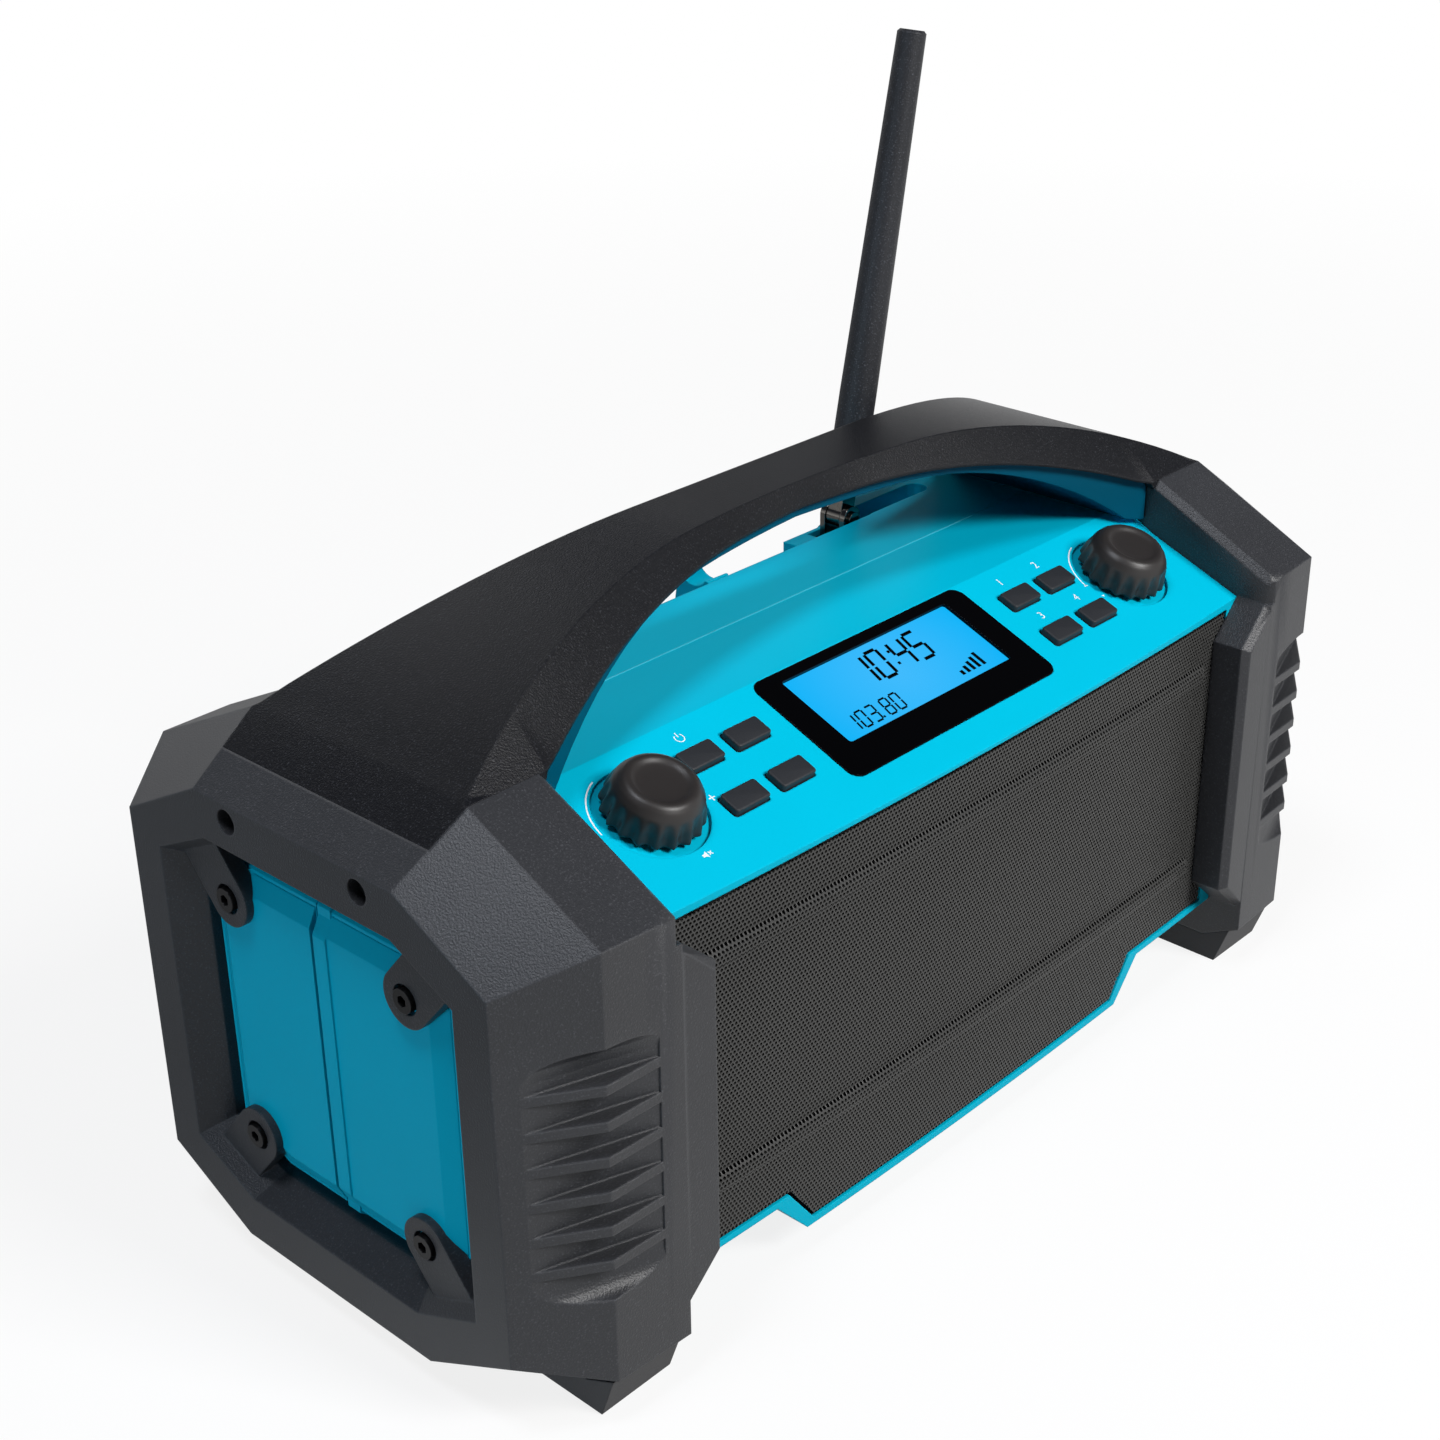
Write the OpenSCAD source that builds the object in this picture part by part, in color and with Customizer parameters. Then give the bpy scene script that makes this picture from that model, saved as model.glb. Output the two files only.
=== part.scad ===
// Jobsite radio: two moulded end bumpers round a split shell, with an arched carry handle on top.
// Millimetres, +Z up, the front faces -Y, the origin is on the floor under the middle.

/* [Body] */
// Width over the two end bumpers
body_w = 360; // [352:1:368]
// Depth over the bumper corners
body_d = 173; // [171:0.5:177]
// Wall of the moulded shells
wall = 2.6; // [2.2:0.1:2.8]
// Height of the flat deck under the handle
deck_z = 151.1; // [150:0.1:152]
// Slope of the control console in degrees
console_angle = 21.7; // [21:0.1:22.5]

/* [Handle] */
// Height of the top of the handle
handle_top = 192; // [191:0.5:195]
// Thickness of the handle cover
cover_t = 2.6; // [2.2:0.1:3.0]
// Depth of the flat grip strip in front of the middle
grip_front = 6.5; // [5.5:0.5:8]

/* [Bumpers] */
// Number of louvre blades on each bumper corner
blades = 6; // [4:1:7]
// Pitch of the louvre blades
blade_pitch = 10.3; // [10:0.1:10.6]
// Thickness of a louvre blade
blade_t = 2.8; // [2.2:0.1:3.4]
// Height of the rubber feet under the bumpers
foot_h = 8.6; // [8.2:0.1:9]

/* [Speakers] */
// Diameter of each speaker opening
speaker_d = 80; // [72:1:82]
// Distance of each speaker from the middle
speaker_x = 64; // [62:1:66]
// Thickness of the perforated grille
grille_t = 1.0; // [0.8:0.1:1.2]
// Height of the ridges pressed into the grille
ridge_h = 0.8; // [0.5:0.1:1.2]

/* [Controls] */
// Distance of each knob from the middle
knob_x = 104.2; // [103:0.1:105]
// Diameter of the fluted knob skirt
knob_d = 28.2; // [26:0.2:30]
// Height of a knob above the console
knob_h = 11.6; // [11:0.1:13]
// Travel of a knob when it is pressed
knob_travel = 0.8; // [0.5:0.1:0.9]
// Width of a push button
button_w = 13; // [12:0.1:13.6]
// Depth of a push button along the slope
button_h = 7; // [6.4:0.1:8]
// How far a button stands proud of the console
button_proud = 2; // [1.5:0.1:3]
// Travel of a button
button_travel = 1.0; // [0.6:0.1:1.1]
// Clearance round every moving cap
cap_gap = 0.35; // [0.3:0.05:0.5]

/* [Antenna] */
// Length of the antenna from its pin to its tip
antenna_len = 151; // [140:1:156]
// Lean of the raised antenna in degrees
antenna_lean = 12; // [8:1:16]
// Diameter of the antenna above its foot
antenna_d = 12; // [11:0.2:12.2]
// Diameter of the antenna at its tip
antenna_tip_d = 9; // [7:0.2:10]

/* [Back] */
// Width of the battery door
door_w = 132; // [126:1:134]
// Height of the battery door
door_h = 77; // [74:1:78]
// Travel of the door latch
latch_travel = 2.4; // [1.5:0.1:2.6]

/* [Hidden] */
$fn = 48;
half_w = body_w / 2;
half_d = body_d / 2;
shoulder_x = half_w - 22.4;
wall_x = half_w - 47.4;
lip_x = half_w - 60.3;
neck_x = half_w - 14;
panel_x = half_w - 9;
lug_x = half_w - 4;
bow = 0.0001716;
front_y = half_d - 9.3;
rear_y = half_d - 10.5;
guard_y = half_d + 3;
seam_y = 3.3;
seam_gap = 0.05;
crease_y = 28.3;
ledge_y = 48;
ledge_z = deck_z - 13.1;
shoulder_z = handle_top - 28.6;
floor_z = 9.6;
side_floor_z = 22.8;
console_tan = tan(console_angle);
lip_z = deck_z - (front_y - crease_y) * console_tan;
teal = [0.02, 0.66, 0.79];
charcoal = [0.16, 0.165, 0.18];
ink = [0.06, 0.06, 0.065];
steel = [0.75, 0.75, 0.76];
pcb = [0.05, 0.3, 0.15];

// Points of a bowed front, from left to right
stations = [for (i = [0:46]) -138 + 6 * i];
function bowed(y0, x) = -(y0 - bow * x * x);
function arc(y0) = [for (x = stations) [x, bowed(y0, x)]];
function back_to_front(list) = [for (i = [len(list) - 1:-1:0]) list[i]];

// Handle profile, where the cover runs from end to end in one sweep
reach = half_w - 11.1;
function drop(x, flat, r) = r - sqrt(r * r - pow(max(0, abs(x) - flat), 2));
function fall(x) = max(0, abs(x) - shoulder_x);
function crown_z(x) = abs(x) < shoulder_x - 0.3
  ? handle_top - drop(x * 157.3 / (shoulder_x - 0.3), 45, 235)
  : shoulder_z - fall(x) * 0.634;
function rim_y(x) = 41.4 - 0.116 * fall(x);
function crease_f(x) = min(rim_y(x) - 1.5, grip_front + 0.00135 * x * x);
function crease_r(x) = min(rim_y(x) - 1.5, 14.6 + drop(min(abs(x), 157), 45, 250));
function flare(x) = 2 + 0.07 * abs(x);
function edge_f(x) = min(rim_y(x), crease_f(x) + flare(x));
function edge_r(x) = min(rim_y(x), crease_r(x) + flare(x));
function edge_z(x) = abs(x) < wall_x - 0.9
  ? max(shoulder_z, handle_top - 6.7 - drop(x, 25, 262))
  : min(shoulder_z, crown_z(x));
function under_z(x) = abs(x) < wall_x - 0.9
  ? edge_z(x) - 0.8
  : min(shoulder_z, crown_z(x)) - cover_t;
function roof_z(x) = max(under_z(x) + 0.04, crown_z(x) - cover_t);
function cover_ring(x) = [
  [x, -edge_f(x), min(edge_z(x), crown_z(x) - 0.04)],
  [x, -crease_f(x), crown_z(x)],
  [x, crease_r(x), crown_z(x)],
  [x, edge_r(x), min(edge_z(x), crown_z(x) - 0.04)],
  [x, edge_r(x), under_z(x)],
  [x, edge_r(x) - 2.4, under_z(x)],
  [x, crease_r(x) - 1.1, roof_z(x)],
  [x, -crease_f(x) + 1.1, roof_z(x)],
  [x, -edge_f(x) + 2.4, under_z(x)],
  [x, -edge_f(x), under_z(x)]
];
side_half = concat(
  [0, 10, 20, 25, 30, 37, 45, 52, 60, 68, 76, 84, 92, 100, 107, 114, 120, 126],
  [wall_x - 1.4, wall_x - 0.5, 137, 143, 149, shoulder_x - 2, shoulder_x, reach]
);
cover_stations = concat(
  [for (i = [len(side_half) - 1:-1:1]) -side_half[i]],
  side_half
);

// Skin of a sweep through equal rings, closed by flat ends of the triangles given
function skin(n, m, ends) = concat(
  [for (s = [0:n - 2]) for (k = [0:m - 1]) [s * m + k, s * m + (k + 1) % m, (s + 1) * m + k]],
  [for (s = [0:n - 2]) for (k = [0:m - 1])
    [s * m + (k + 1) % m, (s + 1) * m + (k + 1) % m, (s + 1) * m + k]],
  [for (t = ends) [t[2], t[1], t[0]]],
  [for (t = ends) [t[0] + (n - 1) * m, t[1] + (n - 1) * m, t[2] + (n - 1) * m]]
);
function fan(m) = [for (i = [1:m - 2]) [0, i, i + 1]];
module sweep(rings, ends) {
  points = [for (ring = rings) for (p = ring) p];
  polyhedron(points, skin(len(rings), len(rings[0]), ends), convexity = 8);
}

// Arch of the finger opening under the handle
arch_top = handle_top - 11;
function arch_z(x) = arch_top - drop(min(abs(x), 170), 40, 138);
arch_end = 40 + sqrt(138 * 138 - pow(138 - (arch_top - deck_z), 2));
core_half = concat(
  [0, 10, 20, 25, 30, 37, 45, 52, 60, 68, 76, 84, 92, 100, 107, 114, 120],
  [arch_end, wall_x - 1.4, wall_x - 0.55]
);
core_stations = concat(
  [for (i = [len(core_half) - 1:-1:1]) -core_half[i]],
  core_half
);
function sole_z(x) = abs(x) < arch_end + 0.01
  ? arch_z(x)
  : deck_z - 1;
function core_front(x) = [
  [x, -edge_f(x) + 2.8, sole_z(x)],
  [x, -edge_f(x) + 2.8, under_z(x) - 0.1],
  [x, -crease_f(x) + 1.5, roof_z(x) - 0.15],
  [x, seam_y - seam_gap, roof_z(x) - 0.15],
  [x, seam_y - seam_gap, sole_z(x)]
];
function core_rear(x) = [
  [x, seam_y + seam_gap, sole_z(x)],
  [x, seam_y + seam_gap, roof_z(x) - 0.15],
  [x, crease_r(x) - 1.5, roof_z(x) - 0.15],
  [x, edge_r(x) - 2.8, under_z(x) - 0.1],
  [x, edge_r(x) - 2.8, sole_z(x)]
];

// Frame of the sloped console: x along the radio, y up the slope, z outward
module on_console(x, s) {
  translate([0, -crease_y, deck_z])
    rotate([console_angle, 0, 0])
      translate([x, -s, 0])
        children();
}

module block(x0, x1, y0, y1, z0, z1) {
  translate([x0, y0, z0])
    cube([x1 - x0, y1 - y0, z1 - z0]);
}

// A plate with round corners, centred, from z0 to z1
module rounded(w, d, r, z0, z1) {
  translate([-w / 2 + r, -d / 2, z0])
    cube([w - 2 * r, d, z1 - z0]);
  translate([-w / 2, -d / 2 + r, z0])
    cube([w, d - 2 * r, z1 - z0]);
  for (i = [-1, 1])
    for (j = [-1, 1])
      translate([i * (w / 2 - r), j * (d / 2 - r), z0])
        cylinder(r = r, h = z1 - z0);
}

module along_x(y, z, d, x0, x1) {
  translate([x0, y, z])
    rotate([0, 90, 0])
      cylinder(d = d, h = x1 - x0);
}

module along_y(x, z, d, y0, y1) {
  translate([x, y0, z])
    rotate([-90, 0, 0])
      cylinder(d = d, h = y1 - y0);
}

// A polygon of [y, z] points drawn out along x
module rail(points, x0, x1) {
  translate([x0, 0, 0])
    rotate([90, 0, 90])
      linear_extrude(x1 - x0)
        polygon(points);
}

// A polygon of [x, z] points drawn out along y
module slab(points, y0, y1) {
  translate([0, y1, 0])
    rotate([90, 0, 0])
      linear_extrude(y1 - y0)
        polygon(points);
}

module both_sides() {
  children();
  mirror([1, 0, 0])
    children();
}

// ---- Shells ----

function body_section(t) = [
  [-half_d - 9, floor_z - 5],
  [-half_d - 9, deck_z - (half_d + 9 - crease_y) * console_tan - t / cos(console_angle)],
  [-crease_y - t * tan(console_angle / 2), deck_z - t],
  [crease_y - t, deck_z - t],
  [crease_y - t, ledge_z - t],
  [ledge_y - t * 0.3, ledge_z - t],
  [rear_y - t, ledge_z - 19.5 - t],
  [rear_y - t, floor_z - 5]
];
function body_plan(t) = concat(
  arc(front_y - t),
  [[138, rear_y - t], [-138, rear_y - t]]
);
function body_front(t) = [
  [-wall_x, side_floor_z + t],
  [-87 + t * 0.4, side_floor_z + t],
  [-75 + t * 0.4, floor_z + t],
  [75 - t * 0.4, floor_z + t],
  [87 - t * 0.4, side_floor_z + t],
  [wall_x, side_floor_z + t],
  [wall_x, deck_z + 5],
  [-wall_x, deck_z + 5]
];
module body_block(t, front_t) {
  intersection() {
    rail(body_section(t), -wall_x + t, wall_x - t);
    translate([0, 0, floor_z - 4])
      linear_extrude(deck_z)
        polygon(body_plan(front_t));
    slab(body_front(t), -half_d - 10, half_d + 10);
  }
}
function neck(t) = [
  [-34 + t * 0.25, shoulder_z - 13.5 - t],
  [-68 + t, 131.5 - t * 0.6],
  [-68 + t, 24.5 + t * 0.6],
  [-36 + t * 0.25, 13.5 + t],
  [36 - t * 0.25, 13.5 + t],
  [68 - t, 24.5 + t * 0.6],
  [68 - t, 131.5 - t * 0.6],
  [34 - t * 0.25, shoulder_z - 13.5 - t]
];
function window(k) = [
  for (p = [[58, 46.2], [36.8, 56.6], [-36.8, 56.6], [-58, 46.2],
    [-58, -46.3], [-34.7, -56.7], [34.7, -56.7], [58, -46.3]])
    [p[0] * k, 79 + p[1] * k]
];
module window_taper(k0, x0, k1, x1) {
  hull() {
    rail(window(k0), x0, x0 + 0.02);
    rail(window(k1), x1 - 0.02, x1);
  }
}
module plateau() {
  window_taper(0.895, neck_x, 0.815, panel_x);
}
lug_points = [[35.4, 116.3], [34.9, 41.8]];
top_screws = [25.7, 144.1];
shell_bosses = [[119, 42], [119, 112], [-119, 42], [-119, 112], [40, 15.8], [-40, 15.8]];

module end_bosses(side) {
  for (p = lug_points)
    along_x(side * p[0], p[1], 9, neck_x - 14, neck_x + 1);
  along_x(side * top_screws[0], top_screws[1], 8, neck_x - 12, neck_x - 0.5);
}
module end_pilots(side) {
  for (p = lug_points)
    along_x(side * p[0], p[1], 4, neck_x - 12, panel_x + 1);
  along_x(side * top_screws[0], top_screws[1], 4, neck_x - 10, neck_x + 1);
}

module hollow_body() {
  difference() {
    union() {
      body_block(0, 0);
      both_sides() {
        rail(neck(0), wall_x - 0.5, neck_x);
        plateau();
        // Raised band beside the seam on the end panel
        intersection() {
          window_taper(0.905, neck_x, 0.825, panel_x + 0.5);
          rail([[-2.4, 20], [2.7, 20], [2.7, 140], [-2.4, 140]], neck_x - 0.5, panel_x + 0.5);
        }
      }
    }
    body_block(wall, wall + 1.2);
    both_sides() {
      rail([[2.7, 20], [3.9, 20], [3.9, 140], [2.7, 140]], panel_x - 1, panel_x + 1);
      rail(neck(wall), wall_x - wall - 1, neck_x - wall);
      rail(window(0.74), neck_x - wall - 1, panel_x - wall);
    }
  }
}

grille_sill = 24.8;
grille_top = lip_z - 1.2;
function grille_outline(m) = [
  [-126.5 - m, grille_sill - m],
  [-82.4 - m * 0.4, grille_sill - m],
  [-72.5 - m * 0.4, 11.8 - m],
  [72.5 + m * 0.4, 11.8 - m],
  [82.4 + m * 0.4, grille_sill - m],
  [126.5 + m, grille_sill - m],
  [126.5 + m, grille_top + m],
  [-126.5 - m, grille_top + m]
];
module bowed_sheet(outer, inner, z0, z1) {
  translate([0, 0, z0])
    linear_extrude(z1 - z0)
      polygon(concat(arc(outer), back_to_front(arc(inner))));
}

lens_s = 21.2;
lens_w = 91.5;
lens_d = 41.4;
button_rows = [14.2, 31.2];
button_cols = [61, 79];
knob_s = 21.9;

module console_posts() {
  for (x = [-114, -50, 50, 114])
    for (s = [7.5, 39])
      on_console(x, s)
        translate([0, 0, -11])
          cylinder(d = 5.5, h = 11 - wall + 0.5);
}

module front_shell() {
  color(teal)
    difference() {
      union() {
        intersection() {
          hollow_body();
          block(-half_w, half_w, -half_d - 9, seam_y - seam_gap, 0, handle_top);
        }
        sweep([for (x = core_stations) core_front(x)], fan(5));
        intersection() {
          union() {
            both_sides()
              end_bosses(-1);
            for (p = shell_bosses)
              along_y(p[0], p[1], 8, bowed(front_y, p[0]) + 2, seam_y - seam_gap);
            for (i = [-1, 1])
              along_y(i * speaker_x, 77, speaker_d + 14, -front_y + 2, -70);
            console_posts();
          }
          union() {
            body_block(1, 2.4);
            both_sides()
              rail(neck(1), wall_x - 6, panel_x - 0.5);
          }
        }
      }
      intersection() {
        bowed_sheet(front_y + 5, front_y - 1.2, 5, 140);
        slab(grille_outline(0), -half_d - 5, 0);
      }
      for (i = [-1, 1]) {
        along_y(i * speaker_x, 77, speaker_d, -half_d, -69);
        for (a = speaker_turns)
          along_y(i * speaker_x + speaker_hole_r * cos(a), 77 + speaker_hole_r * sin(a),
            2.3, -72.6, -69);
      }
      for (p = shell_bosses)
        along_y(p[0], p[1], 2.9, -12, seam_y + 1);
      both_sides()
        end_pilots(-1);
      on_console(0, lens_s)
        rounded(lens_w + 0.3, lens_d + 0.3, 4, -1.3, 4);
      on_console(0, 17.6)
        rounded(76, 31, 1, -9, 1);
      for (i = [-1, 1])
        on_console(i * knob_x, knob_s) {
          translate([0, 0, -1])
            cylinder(d = knob_d + 3.5, h = 8);
          translate([0, 0, -9])
            cylinder(d = 7.4, h = 10);
        }
      for (i = [-1, 1])
        for (x = button_cols)
          for (s = button_rows)
            on_console(i * x, s)
              rounded(button_w + 2 * cap_gap, button_h + 2 * cap_gap, 1.2, -9, 3);
      for (x = [-114, -50, 50, 114])
        for (s = [7.5, 39])
          on_console(x, s)
            translate([0, 0, -12])
              cylinder(d = 2.2, h = 8.6);
    }
}

board_posts = [[-58, 40], [58, 40], [-58, 98], [58, 98]];
hinge = [68.9, 35.5, 151];
door_z = 25.8;
door_t = 2.6;
door_gap = 0.3;
port_x = 96;
port_w = 28;
port_h = 36;
port_z = 56;

module rear_shell() {
  color(teal)
    difference() {
      union() {
        intersection() {
          hollow_body();
          block(-half_w, half_w, seam_y + seam_gap, half_d + 9, 0, handle_top);
        }
        sweep([for (x = core_stations) core_rear(x)], fan(5));
        rail([[crease_y - wall, ledge_z - wall], [crease_y - wall, deck_z], [42, deck_z],
          [55, deck_z - 15], [52, deck_z - 20]], 76, wall_x);
        block(51, 78, crease_y - wall, 44, ledge_z - 1, 144.8);
        rail([[crease_y - 1, ledge_z - 1], [29.3, 151], [41.7, 151], [44, ledge_z - 1]], 0, 9);
        intersection() {
          union() {
            both_sides()
              end_bosses(1);
            for (p = shell_bosses)
              along_y(p[0], p[1], p[1] < 20 ? 7 : 11, seam_y + seam_gap, rear_y - 1);
            block(-door_w / 2 - 3, door_w / 2 + 3, 34.5, rear_y, door_z - 5, door_z + door_h + 3);
            for (p = board_posts)
              along_y(p[0], p[1], 7, 17.6, 36);
            block(port_x - port_w / 2 - 2.4, port_x + port_w / 2 + 2.4,
              rear_y - 10, rear_y, port_z - 2.4, port_z + port_h + 2.4);
          }
          union() {
            body_block(1, 1);
            both_sides()
              rail(neck(1), wall_x - 6, panel_x - 0.5);
          }
        }
      }
      // Hollow under the raised deck, hinge pocket and trough
      block(79, wall_x - 3, 31, 40, ledge_z - wall - 0.1, 142.5);
      block(61, 78, 28.6, 42.5, 141.5, 160);
      block(77, 104, 28.6, 36.7, 145.5, 160);
      translate([104, 32.65, 145.5])
        cylinder(d = 8.1, h = 15);
      // Saddle for the folded antenna
      translate(hinge)
        rotate([0, -87, 0])
          translate([0, 0, 55])
            cylinder(d = 12.4, h = 20);
      for (p = shell_bosses) {
        along_y(p[0], p[1], 3.4, 0, rear_y + 1);
        along_y(p[0], p[1], p[1] < 20 ? 6.1 : 6.9, 12, rear_y + 1);
      }
      for (p = board_posts)
        along_y(p[0], p[1], 2.6, 17, 29);
      both_sides()
        end_pilots(1);
      // Battery bay and door rebate
      block(-door_w / 2 + 2.4, door_w / 2 - 2.4, 36.5, rear_y - 2, door_z + 2.6, door_z + door_h - 2);
      block(-door_w / 2 - door_gap, door_w / 2 + door_gap, rear_y - door_t - 0.2, rear_y + 1,
        door_z - door_gap, door_z + door_h + door_gap);
      along_x(rear_y - door_t / 2, door_z + door_t / 2, door_t + 0.7,
        -door_w / 2 - door_gap, door_w / 2 + door_gap);
      along_x(rear_y - door_t / 2, door_z + door_t / 2, 1.9, -door_w / 2 - 2.2, door_w / 2 + 2.2);
      block(-9, 9, rear_y - 2.2, rear_y - 0.7, door_z + door_h, door_z + door_h + 3);
      // Port pocket
      block(port_x - port_w / 2, port_x + port_w / 2, rear_y - 7.6, rear_y + 1,
        port_z, port_z + port_h);
      block(port_x - port_w / 2 + 2, port_x + port_w / 2 - 2, rear_y - 12, rear_y,
        port_z + 2.6, port_z + port_h - 2);
      along_x(rear_y - 1.3, port_z + 1.6, 1.7, port_x - port_w / 2 - 1.6, port_x + port_w / 2 + 1.6);
    }
}

module handle_cover() {
  color(ink)
    sweep([for (x = cover_stations) cover_ring(x)],
      [[0, 8, 9], [0, 1, 8], [1, 7, 8], [1, 2, 7], [2, 6, 7], [2, 3, 6], [3, 5, 6], [3, 4, 5]]);
}

// ---- Bumpers ----

function guard_section(x) = let (y = guard_y - bow * x * x) [
  [-41.4, shoulder_z],
  [41.4, shoulder_z],
  [y, shoulder_z - (y - 41.4) * 0.4986],
  [y, 15.2],
  [y - 13.4, foot_h],
  [-y + 13.4, foot_h],
  [-y, 15.2],
  [-y, shoulder_z - (y - 41.4) * 0.4986]
];
guard_end = [
  [-38.7, shoulder_z - 14.2],
  [38.7, shoulder_z - 14.2],
  [70.2, 132.5],
  [70.2, 24.9],
  [38.3, foot_h],
  [-38.3, foot_h],
  [-70.2, 24.9],
  [-70.2, 132.5]
];
module guard_hull() {
  hull() {
    for (i = [0:4])
      rail(guard_section(wall_x + (shoulder_x - wall_x) * i / 4),
        wall_x + (shoulder_x - wall_x) * i / 4, wall_x + (shoulder_x - wall_x) * i / 4 + 0.01);
    rail(guard_end, half_w - 0.01, half_w);
  }
}
function flange_outline(t) = [
  [wall_x + 0.5, 133.1 - t],
  [wall_x, 133.1 - t],
  [lip_x + t, 122 - t * 0.5],
  [lip_x + t, 35.6 + t * 0.5],
  [wall_x, 23.9 + t],
  [wall_x + 0.5, 23.9 + t]
];
bevel = 2.2;
module flange() {
  intersection() {
    hull() {
      intersection() {
        slab(flange_outline(bevel), -half_d - 5, -60);
        bowed_sheet(guard_y, front_y - 1, 5, 150);
      }
      intersection() {
        slab(flange_outline(0), -half_d - 5, -60);
        bowed_sheet(guard_y - bevel, front_y - 1, 5, 150);
      }
    }
    bowed_sheet(guard_y + 1, front_y, 5, 150);
  }
  intersection() {
    slab(flange_outline(0), 60, half_d + 5);
    translate([0, rear_y, 5])
      linear_extrude(150)
        polygon(concat(
          [[114, 0]],
          [for (x = stations) if (x > 110) [x, guard_y - rear_y - bow * x * x]],
          [[138, 0]]
        ));
  }
}

// Louvres: the corner is cut back to a flat floor, and the blades are left standing
chord_a = [half_w - 5.6, -half_d + 12.6];
chord_b = [half_w - 39.5, -half_d + 0.9];
chord_dir = atan2(chord_b[1] - chord_a[1], chord_b[0] - chord_a[0]);
chord_len = norm(chord_b - chord_a);
louvre_low = 41.3;
louvre_high = 115.3;
function scoop(side) = [
  for (i = [0:8]) let (d = 5.6 * i / 8, e = 6.9 * sqrt(1 - pow(1 - min(1, d / 5.6), 2)))
    [-d, side > 0 ? louvre_high - 6.9 + e : louvre_low + 6.9 - e]
];
module louvre_pocket() {
  difference() {
    translate([chord_a[0], chord_a[1], 0])
      rotate([0, 0, chord_dir])
        rotate([90, 0, 90])
          linear_extrude(chord_len)
            polygon(concat(
              [for (p = scoop(1)) [-p[0], p[1]]], [[9, louvre_high], [9, louvre_low]],
              back_to_front([for (p = scoop(-1)) [-p[0], p[1]]])
            ));
    for (i = [0:blades - 1])
      block(half_w - 60, half_w + 5, -half_d - 20, 0,
        105.1 - blade_t - blade_pitch * i, 105.1 - blade_pitch * i);
  }
}

// Bevel along the inner edge of the guard
module inner_bevel() {
  for (j = [0, 1])
    mirror([0, j, 0]) {
      translate([wall_x, 41.45, shoulder_z])
        rotate([-atan(0.4986), 0, 0])
          slab([[-1, 1], [bevel + 1, 1], [-1, -bevel - 1]], 0, 60);
      translate([wall_x, guard_y - bow * wall_x * wall_x, 133.1])
        linear_extrude(20)
          polygon([[-1, 1], [-1, -bevel - 1], [bevel + 1, 1]]);
    }
}

module lugs() {
  for (j = [-1, 1])
    for (p = lug_points) {
      up = p[1] > 79 ? 1 : -1;
      along_x(j * p[0], p[1], 16, panel_x, lug_x);
      translate([panel_x, j * p[0], p[1]])
        rotate([-j * up * 40, 0, 0])
          translate([0, -8, up > 0 ? 0 : -30])
            cube([lug_x - panel_x, 16, 30]);
    }
}

module bumper_half() {
  difference() {
    union() {
      guard_hull();
      flange();
    }
    // Room for the cover where it runs over the top
    sweep([for (x = [wall_x - 2, shoulder_x, reach]) [
      [x, -rim_y(x), min(shoulder_z, crown_z(max(x, shoulder_x))) - cover_t],
      [x, -rim_y(x), handle_top + 9],
      [x, rim_y(x), handle_top + 9],
      [x, rim_y(x), min(shoulder_z, crown_z(max(x, shoulder_x))) - cover_t]
    ]], fan(4));
    rail(neck(0), wall_x - 30, neck_x);
    difference() {
      union() {
        window_taper(0.9, panel_x, 1.0, half_w + 0.02);
        window_taper(0.9, neck_x - 0.1, 0.9, panel_x + 0.1);
      }
      lugs();
    }
    louvre_pocket();
    mirror([0, 1, 0])
      louvre_pocket();
    inner_bevel();
    for (j = [-1, 1]) {
      for (p = lug_points) {
        along_x(j * p[0], p[1], 4.4, neck_x, half_w + 1);
        along_x(j * p[0], p[1], 8.6, lug_x - 2.4, half_w + 1);
      }
      along_x(j * top_screws[0], top_screws[1], 4.4, neck_x - 1, half_w + 1);
      along_x(j * top_screws[0], top_screws[1], 7, half_w - 7, half_w + 1);
      for (x = [foot_x - 6, foot_x + 6])
        translate([x, j * 63, foot_h - 1])
          cylinder(d = 6.1, h = 6);
    }
  }
}
module right_bumper() {
  color(charcoal)
    bumper_half();
}
module left_bumper() {
  color(charcoal)
    mirror([1, 0, 0])
      bumper_half();
}

foot_x = (wall_x + shoulder_x) / 2;
module foot(i, j) {
  color(ink)
    scale([i, j, 1]) {
      rail([[78.3, 0], [guard_y - 6.4, foot_h + 4.9], [guard_y - 16.4, foot_h], [50, foot_h], [54, 0]],
        wall_x, shoulder_x);
      for (x = [foot_x - 6, foot_x + 6])
        translate([x, 63, foot_h - 0.5])
          cylinder(d = 6, h = 5);
    }
}
module foot_front_left() {
  foot(-1, -1);
}
module foot_front_right() {
  foot(1, -1);
}
module foot_rear_left() {
  foot(-1, 1);
}
module foot_rear_right() {
  foot(1, 1);
}

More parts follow.
